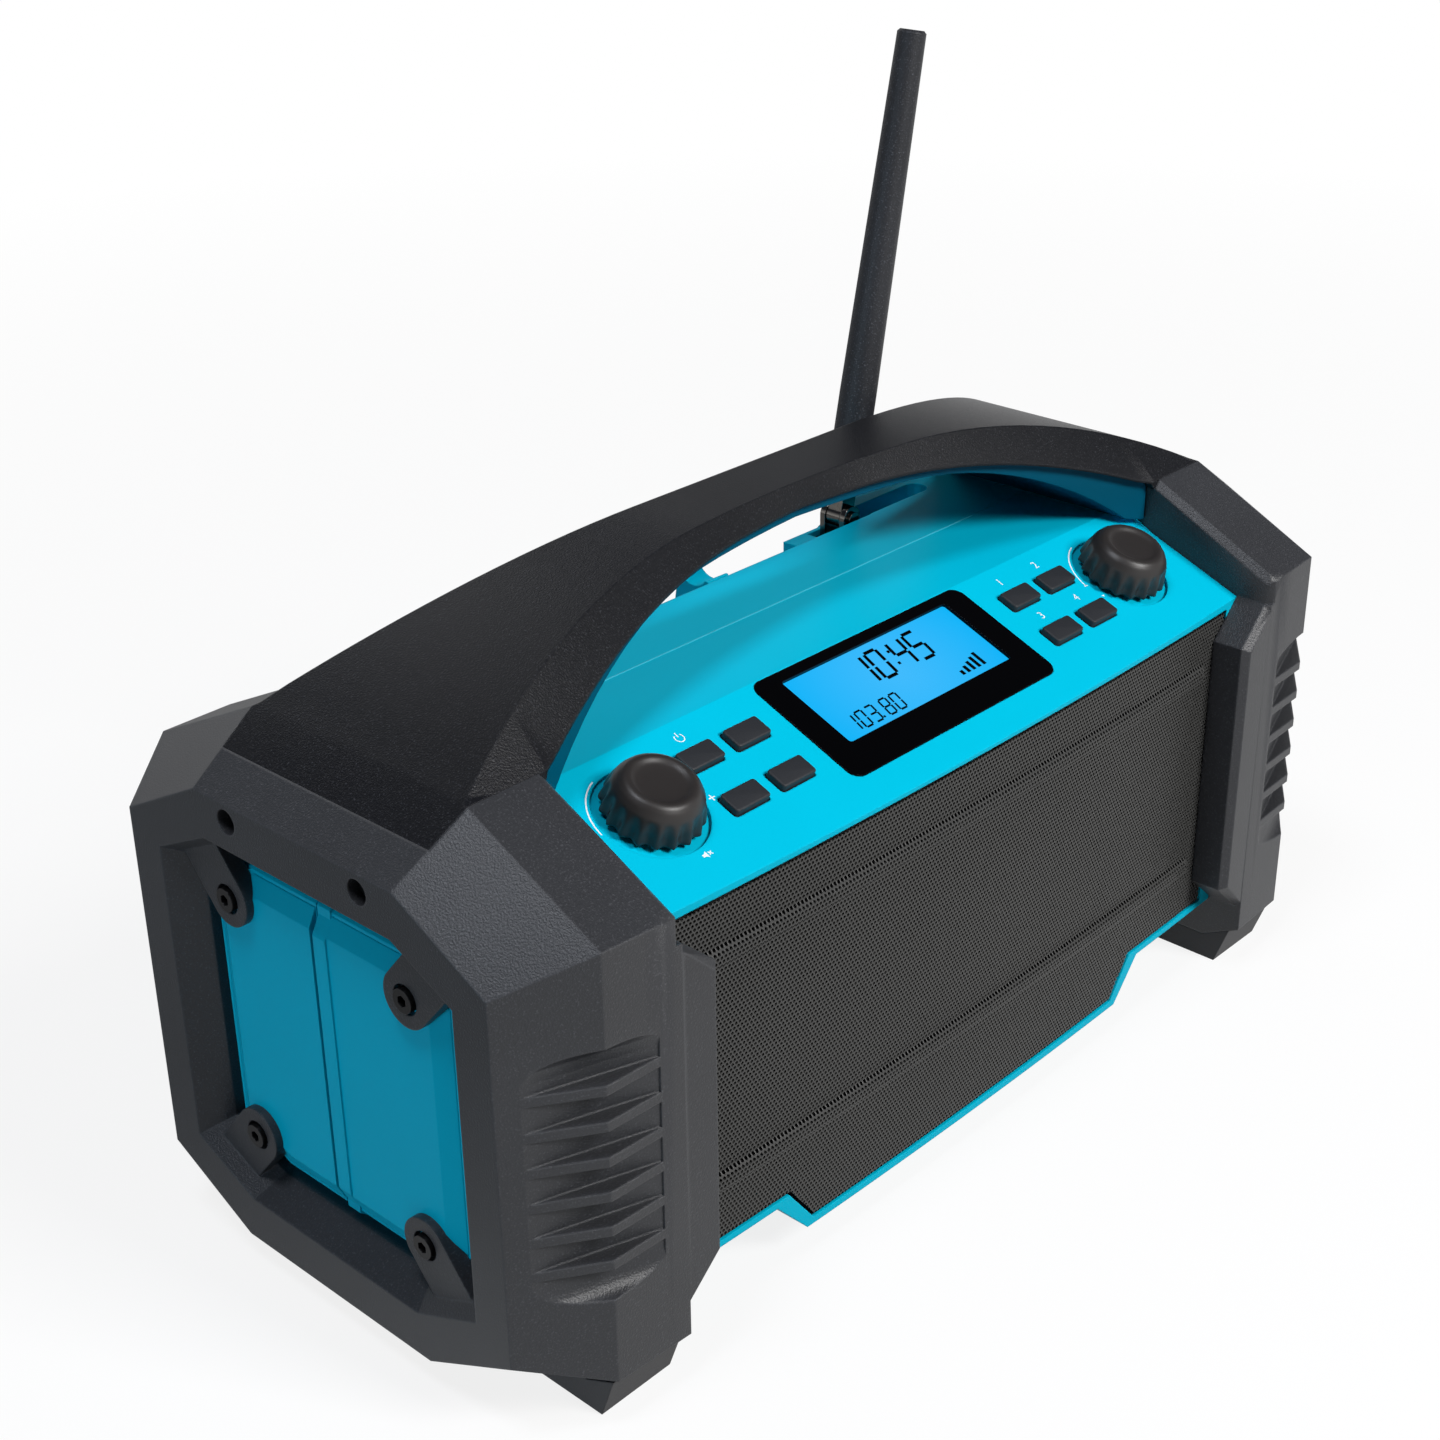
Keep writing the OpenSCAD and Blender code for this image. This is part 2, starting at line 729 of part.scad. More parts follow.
// A cap screw lying along x, with its head at the low side
module cap_screw(y, z, x_seat, d, head_d, head_h, length) {
  difference() {
    union() {
      along_x(y, z, d, x_seat - length, x_seat + 0.1);
      along_x(y, z, head_d, x_seat, x_seat + head_h);
    }
    translate([x_seat + head_h - 2, y, z])
      rotate([0, 90, 0])
        cylinder(d = 3.4, h = 3, $fn = 6);
  }
}
module end_screws() {
  color(ink)
    both_sides()
      for (j = [-1, 1])
        for (p = lug_points)
          cap_screw(j * p[0], p[1], lug_x - 2.4, 3.9, 6.8, 3.4, 15);
}
module guard_screws() {
  color(ink)
    both_sides()
      for (j = [-1, 1])
        cap_screw(j * top_screws[0], top_screws[1], half_w - 7, 3.9, 6.4, 3.6, 14);
}
module shell_screws() {
  color(steel)
    for (p = shell_bosses) {
      along_y(p[0], p[1], 2.8, -10, 12.1);
      difference() {
        along_y(p[0], p[1], 5.8, 12, 14.4);
        translate([p[0], 13, p[1]])
          rotate([-90, 0, 0])
            cylinder(d = 3, h = 2, $fn = 6);
      }
    }
}

// ---- Front ----

module grille() {
  color(ink)
    union() {
      intersection() {
        bowed_sheet(front_y - 0.2, front_y - 0.2 - grille_t, 5, 140);
        slab(grille_outline(-0.1), -half_d - 5, 0);
      }
      for (z = [113, 44])
        intersection() {
          bowed_sheet(front_y - 0.2 + ridge_h, front_y - 0.2 - grille_t / 2, z - 2, z + 2);
          block(-115, 115, -half_d, 0, z - 2, z + 2);
        }
    }
}

module speaker(x) {
  color(steel)
    translate([x, -70, 77])
      rotate([-90, 0, 0])
        difference() {
          rotate_extrude()
            polygon([[speaker_d / 2 - 2.5, 0], [speaker_d / 2 + 6, 0], [speaker_d / 2 + 6, 2.5],
              [speaker_d / 2, 2.5], [28, 23], [28, 25], [30, 25], [30, 41], [0, 41], [0, 27],
              [10, 27], [10, 25], [25, 25], [25, 22.4]]);
          for (a = speaker_turns)
            rotate([0, 0, a])
              translate([speaker_d / 2 + 3, 0, -1])
                cylinder(d = 2.6, h = 5);
        }
}
speaker_hole_r = speaker_d / 2 + 3;
speaker_turns = [45, 135, 225, 315];
module speaker_screws() {
  color(steel)
    for (i = [-1, 1])
      for (a = speaker_turns) {
        x = i * speaker_x + speaker_hole_r * cos(a);
        z = 77 + speaker_hole_r * sin(a);
        along_y(x, z, 2.2, -72.4, -67.4);
        along_y(x, z, 4, -67.5, -66);
      }
}
module cone(x) {
  color(ink)
    translate([x, -70, 77])
      rotate([-90, 0, 0])
        rotate_extrude()
          polygon([[speaker_d / 2 - 3.9, 1.2], [speaker_d / 2 - 6.4, -0.6], [speaker_d / 2 - 9, 1.4],
            [12, 15], [6, 12], [0, 11], [0, 12.2], [6, 13.2], [9.5, 15.4], [9.5, 26.5],
            [8.5, 26.5], [8.5, 27], [9.5, 27], [9.8, 27], [9.8, 17.6], [12, 16.4],
            [speaker_d / 2 - 8.6, 2.8], [speaker_d / 2 - 6.4, 0.8], [speaker_d / 2 - 3.9, 2.4]]);
}
module speaker_left() {
  speaker(-speaker_x);
}
module speaker_right() {
  speaker(speaker_x);
}
module cone_left() {
  cone(-speaker_x);
}
module cone_right() {
  cone(speaker_x);
}

module display_lens() {
  color(ink)
    on_console(0, lens_s)
      rounded(lens_w, lens_d, 3.9, -1.3, 0.3);
}
module display_module() {
  color([0.2, 0.55, 0.9])
    on_console(0, 17.6) {
      rounded(74, 29.4, 0.8, -4, -1.3);
      rounded(82, 34, 1, -11, -wall - 0.2);
    }
}

module control_board() {
  color(pcb)
    difference() {
      on_console(0, 23)
        rounded(236, 38, 2, -12.6, -11);
      for (x = [-114, -50, 50, 114])
        for (s = [7.5, 39])
          on_console(x, s)
            translate([0, 0, -14])
              cylinder(d = 2.5, h = 5);
      for (i = [-1, 1])
        on_console(i * knob_x, knob_s)
          translate([0, 0, -14])
            cylinder(d = 3, h = 5);
    }
}
module control_screws() {
  color(steel)
    for (x = [-114, -50, 50, 114])
      for (s = [7.5, 39])
        on_console(x, s) {
          translate([0, 0, -14.2])
            cylinder(d = 4.4, h = 1.6);
          translate([0, 0, -13])
            cylinder(d = 2.15, h = 8);
        }
}
switch_top = -6.1 - button_travel - 0.3;
module key_switches() {
  color(ink)
    for (i = [-1, 1])
      for (x = button_cols)
        for (s = button_rows)
          on_console(i * x, s) {
            translate([-3, -3, -11])
              cube([6, 6, 2.4]);
            translate([0, 0, -8.8])
              cylinder(d = 3.4, h = switch_top + 8.8);
          }
}
module button(x, s) {
  color(ink)
    on_console(x, s) {
      rounded(button_w, button_h, 1, -4, button_proud);
      rounded(button_w + 2.2, button_h + 2.2, 1, -4.2, -wall - 0.3);
      translate([0, 0, -6.1])
        cylinder(d = 3, h = 2.4);
    }
}
module button_power() {
  button(-button_cols[1], button_rows[0]);
}
module button_mode() {
  button(-button_cols[0], button_rows[0]);
}
module button_menu() {
  button(-button_cols[1], button_rows[1]);
}
module button_eq() {
  button(-button_cols[0], button_rows[1]);
}
module button_1() {
  button(button_cols[0], button_rows[0]);
}
module button_2() {
  button(button_cols[1], button_rows[0]);
}
module button_3() {
  button(button_cols[0], button_rows[1]);
}
module button_4() {
  button(button_cols[1], button_rows[1]);
}

module encoder_bodies() {
  color(steel)
    for (i = [-1, 1])
      on_console(i * knob_x, knob_s)
        difference() {
          union() {
            translate([-6.5, -6.5, -11])
              cube([13, 13, 7]);
            translate([0, 0, -4.2])
              cylinder(d = 7, h = 3);
          }
          translate([0, 0, -10.4])
            cylinder(d = 9.6, h = 5);
          translate([0, 0, -6])
            cylinder(d = 6.2, h = 6);
        }
}
module rotor(x) {
  color(ink)
    on_console(x, knob_s)
      difference() {
        translate([0, 0, -8.6])
          cylinder(d = 9.2, h = 2.9);
        difference() {
          translate([0, 0, -9])
            cylinder(d = 6.1, h = 4);
          translate([2.3, -5, -9.5])
            cube([5, 10, 6]);
        }
      }
}
module shaft(x) {
  color(steel)
    on_console(x, knob_s)
      difference() {
        translate([0, 0, -9.2])
          cylinder(d = 6, h = 17);
        translate([2.2, -5, -10])
          cube([5, 10, 7]);
        translate([2.2, -5, 0.5])
          cube([5, 10, 9]);
      }
}
module knob(x) {
  color(ink)
    on_console(x, knob_s)
      difference() {
        rotate_extrude()
          polygon([[0, 0.4], [knob_d / 2 - 0.8, 0.4], [knob_d / 2, 1.2], [knob_d / 2, 4.6],
            [knob_d / 2 - 1.2, 7.4], [knob_d / 2 - 3.2, knob_h - 1.6],
            [knob_d / 2 - 4.9, knob_h - 0.4], [knob_d / 2 - 6, knob_h],
            [knob_d / 2 - 6.6, knob_h - 0.3], [knob_d / 2 - 7.2, knob_h - 1],
            [0, knob_h - 1]]);
        for (k = [0:17])
          rotate([0, 0, 20 * k])
            translate([knob_d / 2 + 0.9, 0, -1])
              cylinder(d = 3.4, h = 9.6);
        translate([0, 0, -0.6])
          cylinder(d = knob_d - 7, h = 3);
        difference() {
          translate([0, 0, 0])
            cylinder(d = 6.02, h = 7.8);
          translate([2.2, -5, 0.5])
            cube([5, 10, 9]);
        }
      }
}
module volume_rotor() {
  rotor(-knob_x);
}
module volume_shaft() {
  shaft(-knob_x);
}
module volume_knob() {
  knob(-knob_x);
}
module tune_rotor() {
  rotor(knob_x);
}
module tune_shaft() {
  shaft(knob_x);
}
module tune_knob() {
  knob(knob_x);
}

// ---- Inside and back ----

module main_board() {
  color(pcb) {
    difference() {
      block(-100, 100, 16, 17.6, 32, 118);
      for (p = board_posts)
        along_y(p[0], p[1], 3, 10, 20);
    }
    block(-50, -20, 17.5, 25, 60, 90);
    block(10, 26, 17.5, 20.5, 70, 86);
    block(40, 52, 17.5, 29, 84, 108);
  }
}

module board_screws() {
  color(steel)
    for (p = board_posts) {
      along_y(p[0], p[1], 5, 14.4, 16);
      along_y(p[0], p[1], 2.5, 15.8, 27);
    }
}

module antenna_fork() {
  color(steel)
    translate([hinge[0], hinge[1], 141.5])
      difference() {
        union() {
          translate([-5.5, -6, 0])
            cube([11, 12, 2]);
          for (j = [-1, 1])
            translate([-4, j > 0 ? 3 : -5, 0]) {
              cube([8, 2, hinge[2] - 141.5]);
              translate([4, 0, hinge[2] - 141.5])
                rotate([-90, 0, 0])
                  cylinder(d = 8, h = 2);
            }
        }
        translate([0, -8, hinge[2] - 141.5])
          rotate([-90, 0, 0])
            cylinder(d = 3, h = 16);
      }
}
module antenna_pin() {
  color(steel)
    union() {
      along_y(hinge[0], hinge[2], 2.98, hinge[1] - 5, hinge[1] + 5);
      along_y(hinge[0], hinge[2], 4.6, hinge[1] - 6, hinge[1] - 5);
      along_y(hinge[0], hinge[2], 4.6, hinge[1] + 5, hinge[1] + 6);
    }
}
module at_antenna() {
  translate(hinge)
    rotate([0, antenna_lean, 0])
      children();
}
module antenna_knuckle() {
  color(steel)
    at_antenna()
      difference() {
        union() {
          translate([0, -2.7, 0])
            rotate([-90, 0, 0])
              cylinder(d = 7.4, h = 5.4);
          translate([-3.2, -2.7, 0])
            cube([6.4, 5.4, 8]);
          cylinder(d = 4, h = 30);
        }
        translate([0, -8, 0])
          rotate([-90, 0, 0])
            cylinder(d = 3.1, h = 16);
      }
}
module antenna_sleeve() {
  color(ink)
    at_antenna()
      difference() {
        rotate_extrude()
          polygon([[0, 8], [4.4, 8], [antenna_d / 2, 16], [antenna_d / 2 - 0.1, 40],
            [antenna_tip_d / 2, antenna_len - 0.8], [antenna_tip_d / 2 - 0.8, antenna_len],
            [0, antenna_len]]);
        translate([0, 0, 7])
          cylinder(d = 4, h = 23);
      }
}

module battery_door() {
  color(teal)
    difference() {
      union() {
        block(-door_w / 2, door_w / 2, rear_y - door_t, rear_y,
          door_z + door_t / 2, door_z + door_h);
        along_x(rear_y - door_t / 2, door_z + door_t / 2, door_t, -door_w / 2, door_w / 2);
        along_x(rear_y - door_t / 2, door_z + door_t / 2, 1.8, -door_w / 2 - 1.8, door_w / 2 + 1.8);
      }
      for (z = [door_z + 18, door_z + 26, door_z + 34])
        block(-door_w / 2 + 16, door_w / 2 - 16, rear_y - 0.6, rear_y + 1, z, z + 2);
      block(-13.2, 13.2, rear_y - 1.2, rear_y + 1, door_z + door_h - 16, door_z + door_h - 3);
      block(-6.2, 6.2, rear_y - door_t - 1, rear_y, door_z + door_h - 15.4, door_z + door_h - 3.6);
      block(-8.3, 8.3, rear_y - 2.2, rear_y - 1.1, door_z + door_h - 9, door_z + door_h + 1);
    }
}
module battery_latch() {
  color(ink)
    union() {
      block(-12.8, 12.8, rear_y - 1.15, rear_y - 0.1,
        door_z + door_h - 15.8, door_z + door_h - 15.8 + 10);
      for (k = [0:2])
        block(-9, 9, rear_y - 0.2, rear_y + 0.5,
          door_z + door_h - 14 + 2.6 * k, door_z + door_h - 13 + 2.6 * k);
      block(-5.9, 5.9, rear_y - door_t, rear_y - 1.1,
        door_z + door_h - 15, door_z + door_h - 6.4);
      block(-8, 8, rear_y - 2.1, rear_y - 1.2, door_z + door_h - 8.6, door_z + door_h - 0.4);
    }
}
module battery_tray() {
  color(ink)
    difference() {
      block(-door_w / 2 + 2.6, door_w / 2 - 2.6, 36.5, 41, door_z + 2.8, door_z + door_h - 2.2);
      for (x = [-31.3, 31.3])
        for (z = [door_z + 20.6, door_z + 55.8])
          along_x(54.6, z, 34, x - 30.9, x + 30.9);
    }
}
module cells() {
  color(steel)
    for (x = [-31.3, 31.3])
      for (z = [door_z + 20.6, door_z + 55.8]) {
        along_x(54.6, z, 34, x - 30.7, x + 28.6);
        along_x(54.6, z, 9, x + 28.5, x + 30.4);
      }
}

module port_panel() {
  color(ink)
    difference() {
      block(port_x - port_w / 2 + 0.1, port_x + port_w / 2 - 0.1, rear_y - 7.6, rear_y - 5.6,
        port_z + 0.1, port_z + port_h - 0.1);
      along_y(port_x, port_z + 27, 8, rear_y - 9, rear_y);
      along_y(port_x, port_z + 17, 5.4, rear_y - 9, rear_y);
      block(port_x - 6.6, port_x + 6.6, rear_y - 9, rear_y, port_z + 6, port_z + 10.6);
    }
}
module dc_inlet() {
  color(steel)
    difference() {
      along_y(port_x, port_z + 27, 8, rear_y - 17, rear_y - 5.3);
      along_y(port_x, port_z + 27, 5.6, rear_y - 14, rear_y);
    }
}
module dc_pin() {
  color(steel)
    along_y(port_x, port_z + 27, 2, rear_y - 14, rear_y - 6.4);
}
module aux_jack() {
  color(ink)
    difference() {
      along_y(port_x, port_z + 17, 5.4, rear_y - 18, rear_y - 5.2);
      along_y(port_x, port_z + 17, 3.5, rear_y - 16, rear_y);
    }
}
module usb_port() {
  color(steel)
    difference() {
      block(port_x - 6.6, port_x + 6.6, rear_y - 17, rear_y - 5.4, port_z + 6, port_z + 10.6);
      block(port_x - 6.1, port_x + 6.1, rear_y - 15, rear_y, port_z + 6.5, port_z + 10.1);
    }
}
module port_cover() {
  color(ink)
    union() {
      block(port_x - port_w / 2 + 0.4, port_x + port_w / 2 - 0.4, rear_y - 2.4, rear_y,
        port_z + 1.6, port_z + port_h - 0.4);
      along_x(rear_y - 1.2, port_z + 1.6, 2.4, port_x - port_w / 2 + 0.4, port_x + port_w / 2 - 0.4);
      along_x(rear_y - 1.2, port_z + 1.6, 1.5, port_x - port_w / 2 - 1.2, port_x + port_w / 2 + 1.2);
      block(port_x - 4, port_x + 4, rear_y - 0.1, rear_y + 1, port_z + port_h - 4.4, port_z + port_h - 2.4);
    }
}

front_shell();
rear_shell();
handle_cover();
left_bumper();
right_bumper();
foot_front_left();
foot_front_right();
foot_rear_left();
foot_rear_right();
end_screws();
guard_screws();
shell_screws();
grille();
speaker_left();
speaker_right();
cone_left();
cone_right();
speaker_screws();
display_lens();
display_module();
control_board();
control_screws();
key_switches();
button_power();
button_mode();
button_menu();
button_eq();
button_1();
button_2();
button_3();
button_4();
encoder_bodies();
volume_rotor();
volume_shaft();
volume_knob();
tune_rotor();
tune_shaft();
tune_knob();
main_board();
board_screws();
antenna_fork();
antenna_pin();
antenna_knuckle();
antenna_sleeve();
battery_door();
battery_latch();
battery_tray();
cells();
port_panel();
dc_inlet();
dc_pin();
aux_jack();
usb_port();
port_cover();
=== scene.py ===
import math

import bmesh
import bpy
from mathutils import Matrix, Vector


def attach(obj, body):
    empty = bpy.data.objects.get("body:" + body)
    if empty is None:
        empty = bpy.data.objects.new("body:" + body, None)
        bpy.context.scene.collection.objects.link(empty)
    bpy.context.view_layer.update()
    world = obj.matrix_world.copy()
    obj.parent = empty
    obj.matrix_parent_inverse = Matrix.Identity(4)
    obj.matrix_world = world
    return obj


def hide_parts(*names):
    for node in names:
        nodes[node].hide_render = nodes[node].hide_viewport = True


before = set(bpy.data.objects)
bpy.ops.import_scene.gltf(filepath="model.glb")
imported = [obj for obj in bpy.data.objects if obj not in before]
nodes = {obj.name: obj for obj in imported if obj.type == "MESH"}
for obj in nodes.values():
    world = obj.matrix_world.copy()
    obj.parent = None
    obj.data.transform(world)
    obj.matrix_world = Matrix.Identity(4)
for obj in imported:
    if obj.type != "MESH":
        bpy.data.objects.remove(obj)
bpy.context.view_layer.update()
print("frame loaded:", len(nodes), "nodes")

mm = 0.001


# camera, floor and light

cameraSetup = {
    "azimuth": -46.76,
    "elevation": 26.28,
    "roll": -0.80,
    "lens": 56.87,
    "sensor": 36,
    "clip": (0.01, 20),
    "eye": (-458.4, -406.0, 416.9),
}


def makeCamera():
    az, el, ro = (math.radians(cameraSetup[k]) for k in ("azimuth", "elevation", "roll"))
    look = Vector((-math.sin(az) * math.cos(el), math.cos(az) * math.cos(el), -math.sin(el)))
    right = Vector((math.cos(az), math.sin(az), 0))
    up = right.cross(look)
    rolledRight = math.cos(ro) * right + math.sin(ro) * up
    rolledUp = -math.sin(ro) * right + math.cos(ro) * up
    data = bpy.data.cameras.new("camera")
    data.lens = cameraSetup["lens"]
    data.sensor_width = cameraSetup["sensor"]
    data.clip_start, data.clip_end = cameraSetup["clip"]
    camera = bpy.data.objects.new("camera", data)
    bpy.context.collection.objects.link(camera)
    turn = Matrix((rolledRight, rolledUp, -look)).transposed().to_4x4()
    camera.matrix_world = Matrix.Translation(Vector(cameraSetup["eye"]) * mm) @ turn
    bpy.context.scene.camera = camera


# metres, watts
lightSetup = {
    "lamps": {
        "key": {"at": (0.3, -1.6, 1.4), "size": 0.6, "power": 45, "tint": (1.0, 0.99, 0.98)},
        "side": {"at": (-1.8, 0.05, 0.07), "size": 0.5, "power": 9, "tint": (0.7, 0.96, 1.2)},
        "top": {"at": (-0.62, -0.1, 1.8), "size": 0.45, "power": 13, "tint": (0.94, 0.98, 1.06)},
        "back": {"at": (0.4, 1.6, 1.0), "size": 1.0, "power": 4, "tint": (1.0, 1.0, 1.0)},
    },
    "aim": (0, 0, 0.1),
    "ambient": 0.05,
    "backdrop": (1.0, 1.0, 1.0),
    "ceiling": (0.05, 0.055, 0.07),   # what gloss shows of the room above the backdrop
    "ceilingFrom": (0.04, 0.42),      # rise of the ray, where the ceiling begins and is full
}


def addNode(tree, kind, **settings):
    made = tree.nodes.new("ShaderNode" + kind)
    for key, value in settings.items():
        setattr(made, key, value)
    return made


def addRange(tree, source, low, high, toLow=0.0, toHigh=1.0):
    made = addNode(tree, "MapRange")
    for name, value in (("From Min", low), ("From Max", high), ("To Min", toLow), ("To Max", toHigh)):
        made.inputs[name].default_value = value
    tree.links.new(source, made.inputs["Value"])
    return made.outputs["Result"]


# 1 for the rays that show the pale backdrop: camera, glossy and transmission
def seenRays(tree):
    rays = addNode(tree, "LightPath")
    first = addNode(tree, "Math", operation="MAXIMUM")
    second = addNode(tree, "Math", operation="MAXIMUM")
    tree.links.new(rays.outputs["Is Camera Ray"], first.inputs[0])
    tree.links.new(rays.outputs["Is Glossy Ray"], first.inputs[1])
    tree.links.new(first.outputs[0], second.inputs[0])
    tree.links.new(rays.outputs["Is Transmission Ray"], second.inputs[1])
    return second.outputs[0]


def makeLights():
    for name, row in lightSetup["lamps"].items():
        data = bpy.data.lights.new(name + "Light", "AREA")
        data.size = row["size"]
        data.energy = row["power"]
        data.color = row["tint"]
        lamp = bpy.data.objects.new(name + "Light", data)
        bpy.context.collection.objects.link(lamp)
        lamp.location = row["at"]
        aim = Vector(lightSetup["aim"]) - Vector(row["at"])
        lamp.rotation_euler = aim.to_track_quat("-Z", "Y").to_euler()


def makeWorld():
    world = bpy.data.worlds.new("studio")
    bpy.context.scene.world = world
    world.use_nodes = True
    tree = world.node_tree
    tree.nodes.clear()
    link = tree.links.new
    output = addNode(tree, "OutputWorld")
    ambient = addNode(tree, "Background")
    ambient.inputs["Strength"].default_value = lightSetup["ambient"]
    seen = addNode(tree, "Background")
    # the backdrop is pale up to the horizon, and gloss shows a darker ceiling above it
    place = addNode(tree, "TexCoord")
    split = addNode(tree, "SeparateXYZ")
    gloss = addNode(tree, "LightPath")
    high = addNode(tree, "Math", operation="MULTIPLY")
    room = addNode(tree, "Mix", data_type="RGBA")
    room.inputs["A"].default_value = (*lightSetup["backdrop"], 1)
    room.inputs["B"].default_value = (*lightSetup["ceiling"], 1)
    link(place.outputs["Generated"], split.inputs[0])
    link(addRange(tree, split.outputs["Z"], *lightSetup["ceilingFrom"]), high.inputs[0])
    link(gloss.outputs["Is Glossy Ray"], high.inputs[1])
    link(high.outputs[0], room.inputs["Factor"])
    link(room.outputs["Result"], seen.inputs["Color"])
    mix = addNode(tree, "MixShader")
    link(seenRays(tree), mix.inputs["Fac"])
    link(ambient.outputs[0], mix.inputs[1])
    link(seen.outputs[0], mix.inputs[2])
    link(mix.outputs[0], output.inputs["Surface"])


floorSetup = {
    "size": 6,
    "roughness": 0.9,
    "litTone": 0.28,             # for the light that the paper throws on the object
    "seenTone": 0.86,
    "fade": (0.3, 1.3),          # the glow grows from here to there
    "nearGlow": 0.84,
    "flagFrom": (-0.32, -0.02),  # x - y, where the flag's shade ends
    "flagTone": 0.25,
}


def makeFloor():
    f = floorSetup
    bm = bmesh.new()
    bmesh.ops.create_grid(bm, x_segments=1, y_segments=1, size=f["size"])
    floor = meshObject("floor", bm)
    mat = bpy.data.materials.new("floorPaper")
    mat.use_nodes = True
    tree = mat.node_tree
    link = tree.links.new
    paper = tree.nodes["Principled BSDF"]
    paper.inputs["Roughness"].default_value = f["roughness"]
    seen = seenRays(tree)
    tone = addNode(tree, "Mix", data_type="RGBA")
    tone.inputs["A"].default_value = (*[f["litTone"]] * 3, 1)
    tone.inputs["B"].default_value = (*[f["seenTone"]] * 3, 1)
    link(seen, tone.inputs["Factor"])
    link(tone.outputs["Result"], paper.inputs["Base Color"])
    # the paper glows fully far from the object and keeps its shadow near it
    place = addNode(tree, "TexCoord")
    length = addNode(tree, "VectorMath", operation="LENGTH")
    share = addNode(tree, "Math", operation="MULTIPLY")
    link(place.outputs["Object"], length.inputs[0])
    link(seen, share.inputs[0])
    link(addRange(tree, length.outputs["Value"], *f["fade"], f["nearGlow"]), share.inputs[1])
    # gloss shows the paper darker behind the left end, as if a black flag stood there
    split = addNode(tree, "SeparateXYZ")
    across = addNode(tree, "Math", operation="SUBTRACT")
    rays = addNode(tree, "LightPath")
    strength = addNode(tree, "Mix")
    strength.inputs["A"].default_value = 1
    glow = addNode(tree, "Emission")
    link(place.outputs["Object"], split.inputs[0])
    link(split.outputs["X"], across.inputs[0])
    link(split.outputs["Y"], across.inputs[1])
    link(rays.outputs["Is Glossy Ray"], strength.inputs["Factor"])
    link(addRange(tree, across.outputs[0], *f["flagFrom"], f["flagTone"]), strength.inputs["B"])
    link(strength.outputs["Result"], glow.inputs["Strength"])
    mix = addNode(tree, "MixShader")
    link(share.outputs[0], mix.inputs["Fac"])
    link(paper.outputs[0], mix.inputs[1])
    link(glow.outputs[0], mix.inputs[2])
    link(mix.outputs[0], tree.nodes["Material Output"].inputs["Surface"])
    floor.data.materials.append(mat)


# mesh helpers

def meshObject(name, bm, recalc=False):
    if recalc:
        bmesh.ops.recalc_face_normals(bm, faces=bm.faces)
    mesh = bpy.data.meshes.new(name)
    bm.to_mesh(mesh)
    bm.free()
    piece = bpy.data.objects.new(name, mesh)
    bpy.context.collection.objects.link(piece)
    return piece


def finishPiece(piece, body, material, replaced=(), smoothTo=None):
    piece.data.materials.clear()
    piece.data.materials.append(material)
    if smoothTo is not None:
        smooth(piece, smoothTo)
    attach(piece, body)
    if replaced:
        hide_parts(*replaced)
    return piece


def toMetres(bm):
    bmesh.ops.scale(bm, verts=bm.verts, vec=(mm, mm, mm))


def whole(bm):
    return list(bm.verts) + list(bm.edges) + list(bm.faces)


def thicken(piece, thickness):
    wall = piece.modifiers.new("wall", "SOLIDIFY")
    wall.thickness = thickness * mm
    wall.offset = -1


def raiseFaces(bm, height):
    solid = bmesh.ops.extrude_face_region(bm, geom=list(bm.faces))["geom"]
    tops = [g for g in solid if isinstance(g, bmesh.types.BMVert)]
    bmesh.ops.translate(bm, verts=tops, vec=(0, 0, height))


# splits the given parts, or all of them, and can drop what lies beyond the plane
def cutPlane(bm, point, normal, parts=None, drop=False):
    parts = whole(bm) if parts is None else parts
    return bmesh.ops.bisect_plane(bm, geom=parts, dist=0.0001, plane_co=point, plane_no=normal,
                                  clear_outer=drop)["geom_cut"]


def bakeModifiers(piece):
    bpy.context.view_layer.update()
    graph = bpy.context.evaluated_depsgraph_get()
    mesh = bpy.data.meshes.new_from_object(piece.evaluated_get(graph))
    piece.modifiers.clear()
    piece.data = mesh


def smooth(piece, degrees):
    piece.data.shade_smooth()
    piece.data.set_sharp_from_angle(angle=math.radians(degrees))


# x along the console and s down its slope from the crease, both in mm
def onConsole(x, s):
    crease = Matrix.Translation(Vector(consoleSetup["crease"]) * mm)
    tilt = Matrix.Rotation(math.radians(consoleSetup["tilt"]), 4, "X")
    return crease @ tilt @ Matrix.Translation(Vector((x, -s, 0)) * mm)


def cylinder(bm, radius, low, high, segments):
    made = bmesh.ops.create_cone(bm, cap_ends=True, segments=segments, radius1=radius, radius2=radius,
                                 depth=high - low)["verts"]
    bmesh.ops.translate(bm, verts=made, vec=(0, 0, (low + high) / 2))


def slabBlock(bm, width, depth, low, high, corner=0, cornerSteps=4):
    made = bmesh.ops.create_cube(bm, size=1)["verts"]
    bmesh.ops.scale(bm, verts=made, vec=(width, depth, high - low))
    bmesh.ops.translate(bm, verts=made, vec=(0, 0, (low + high) / 2))
    if corner:
        upright = [e for e in {e for v in made for e in v.link_edges}
                   if abs(e.verts[0].co.z - e.verts[1].co.z) > 0.5 * (high - low)]
        bmesh.ops.bevel(bm, geom=upright, offset=corner, segments=cornerSteps,
                        profile=0.5, affect="EDGES", material=-1)


# materials

def toLinear(rgb):
    return tuple(c / 12.92 if c <= 0.04045 else ((c + 0.055) / 1.055) ** 2.4
                 for c in (v / 255 for v in rgb))


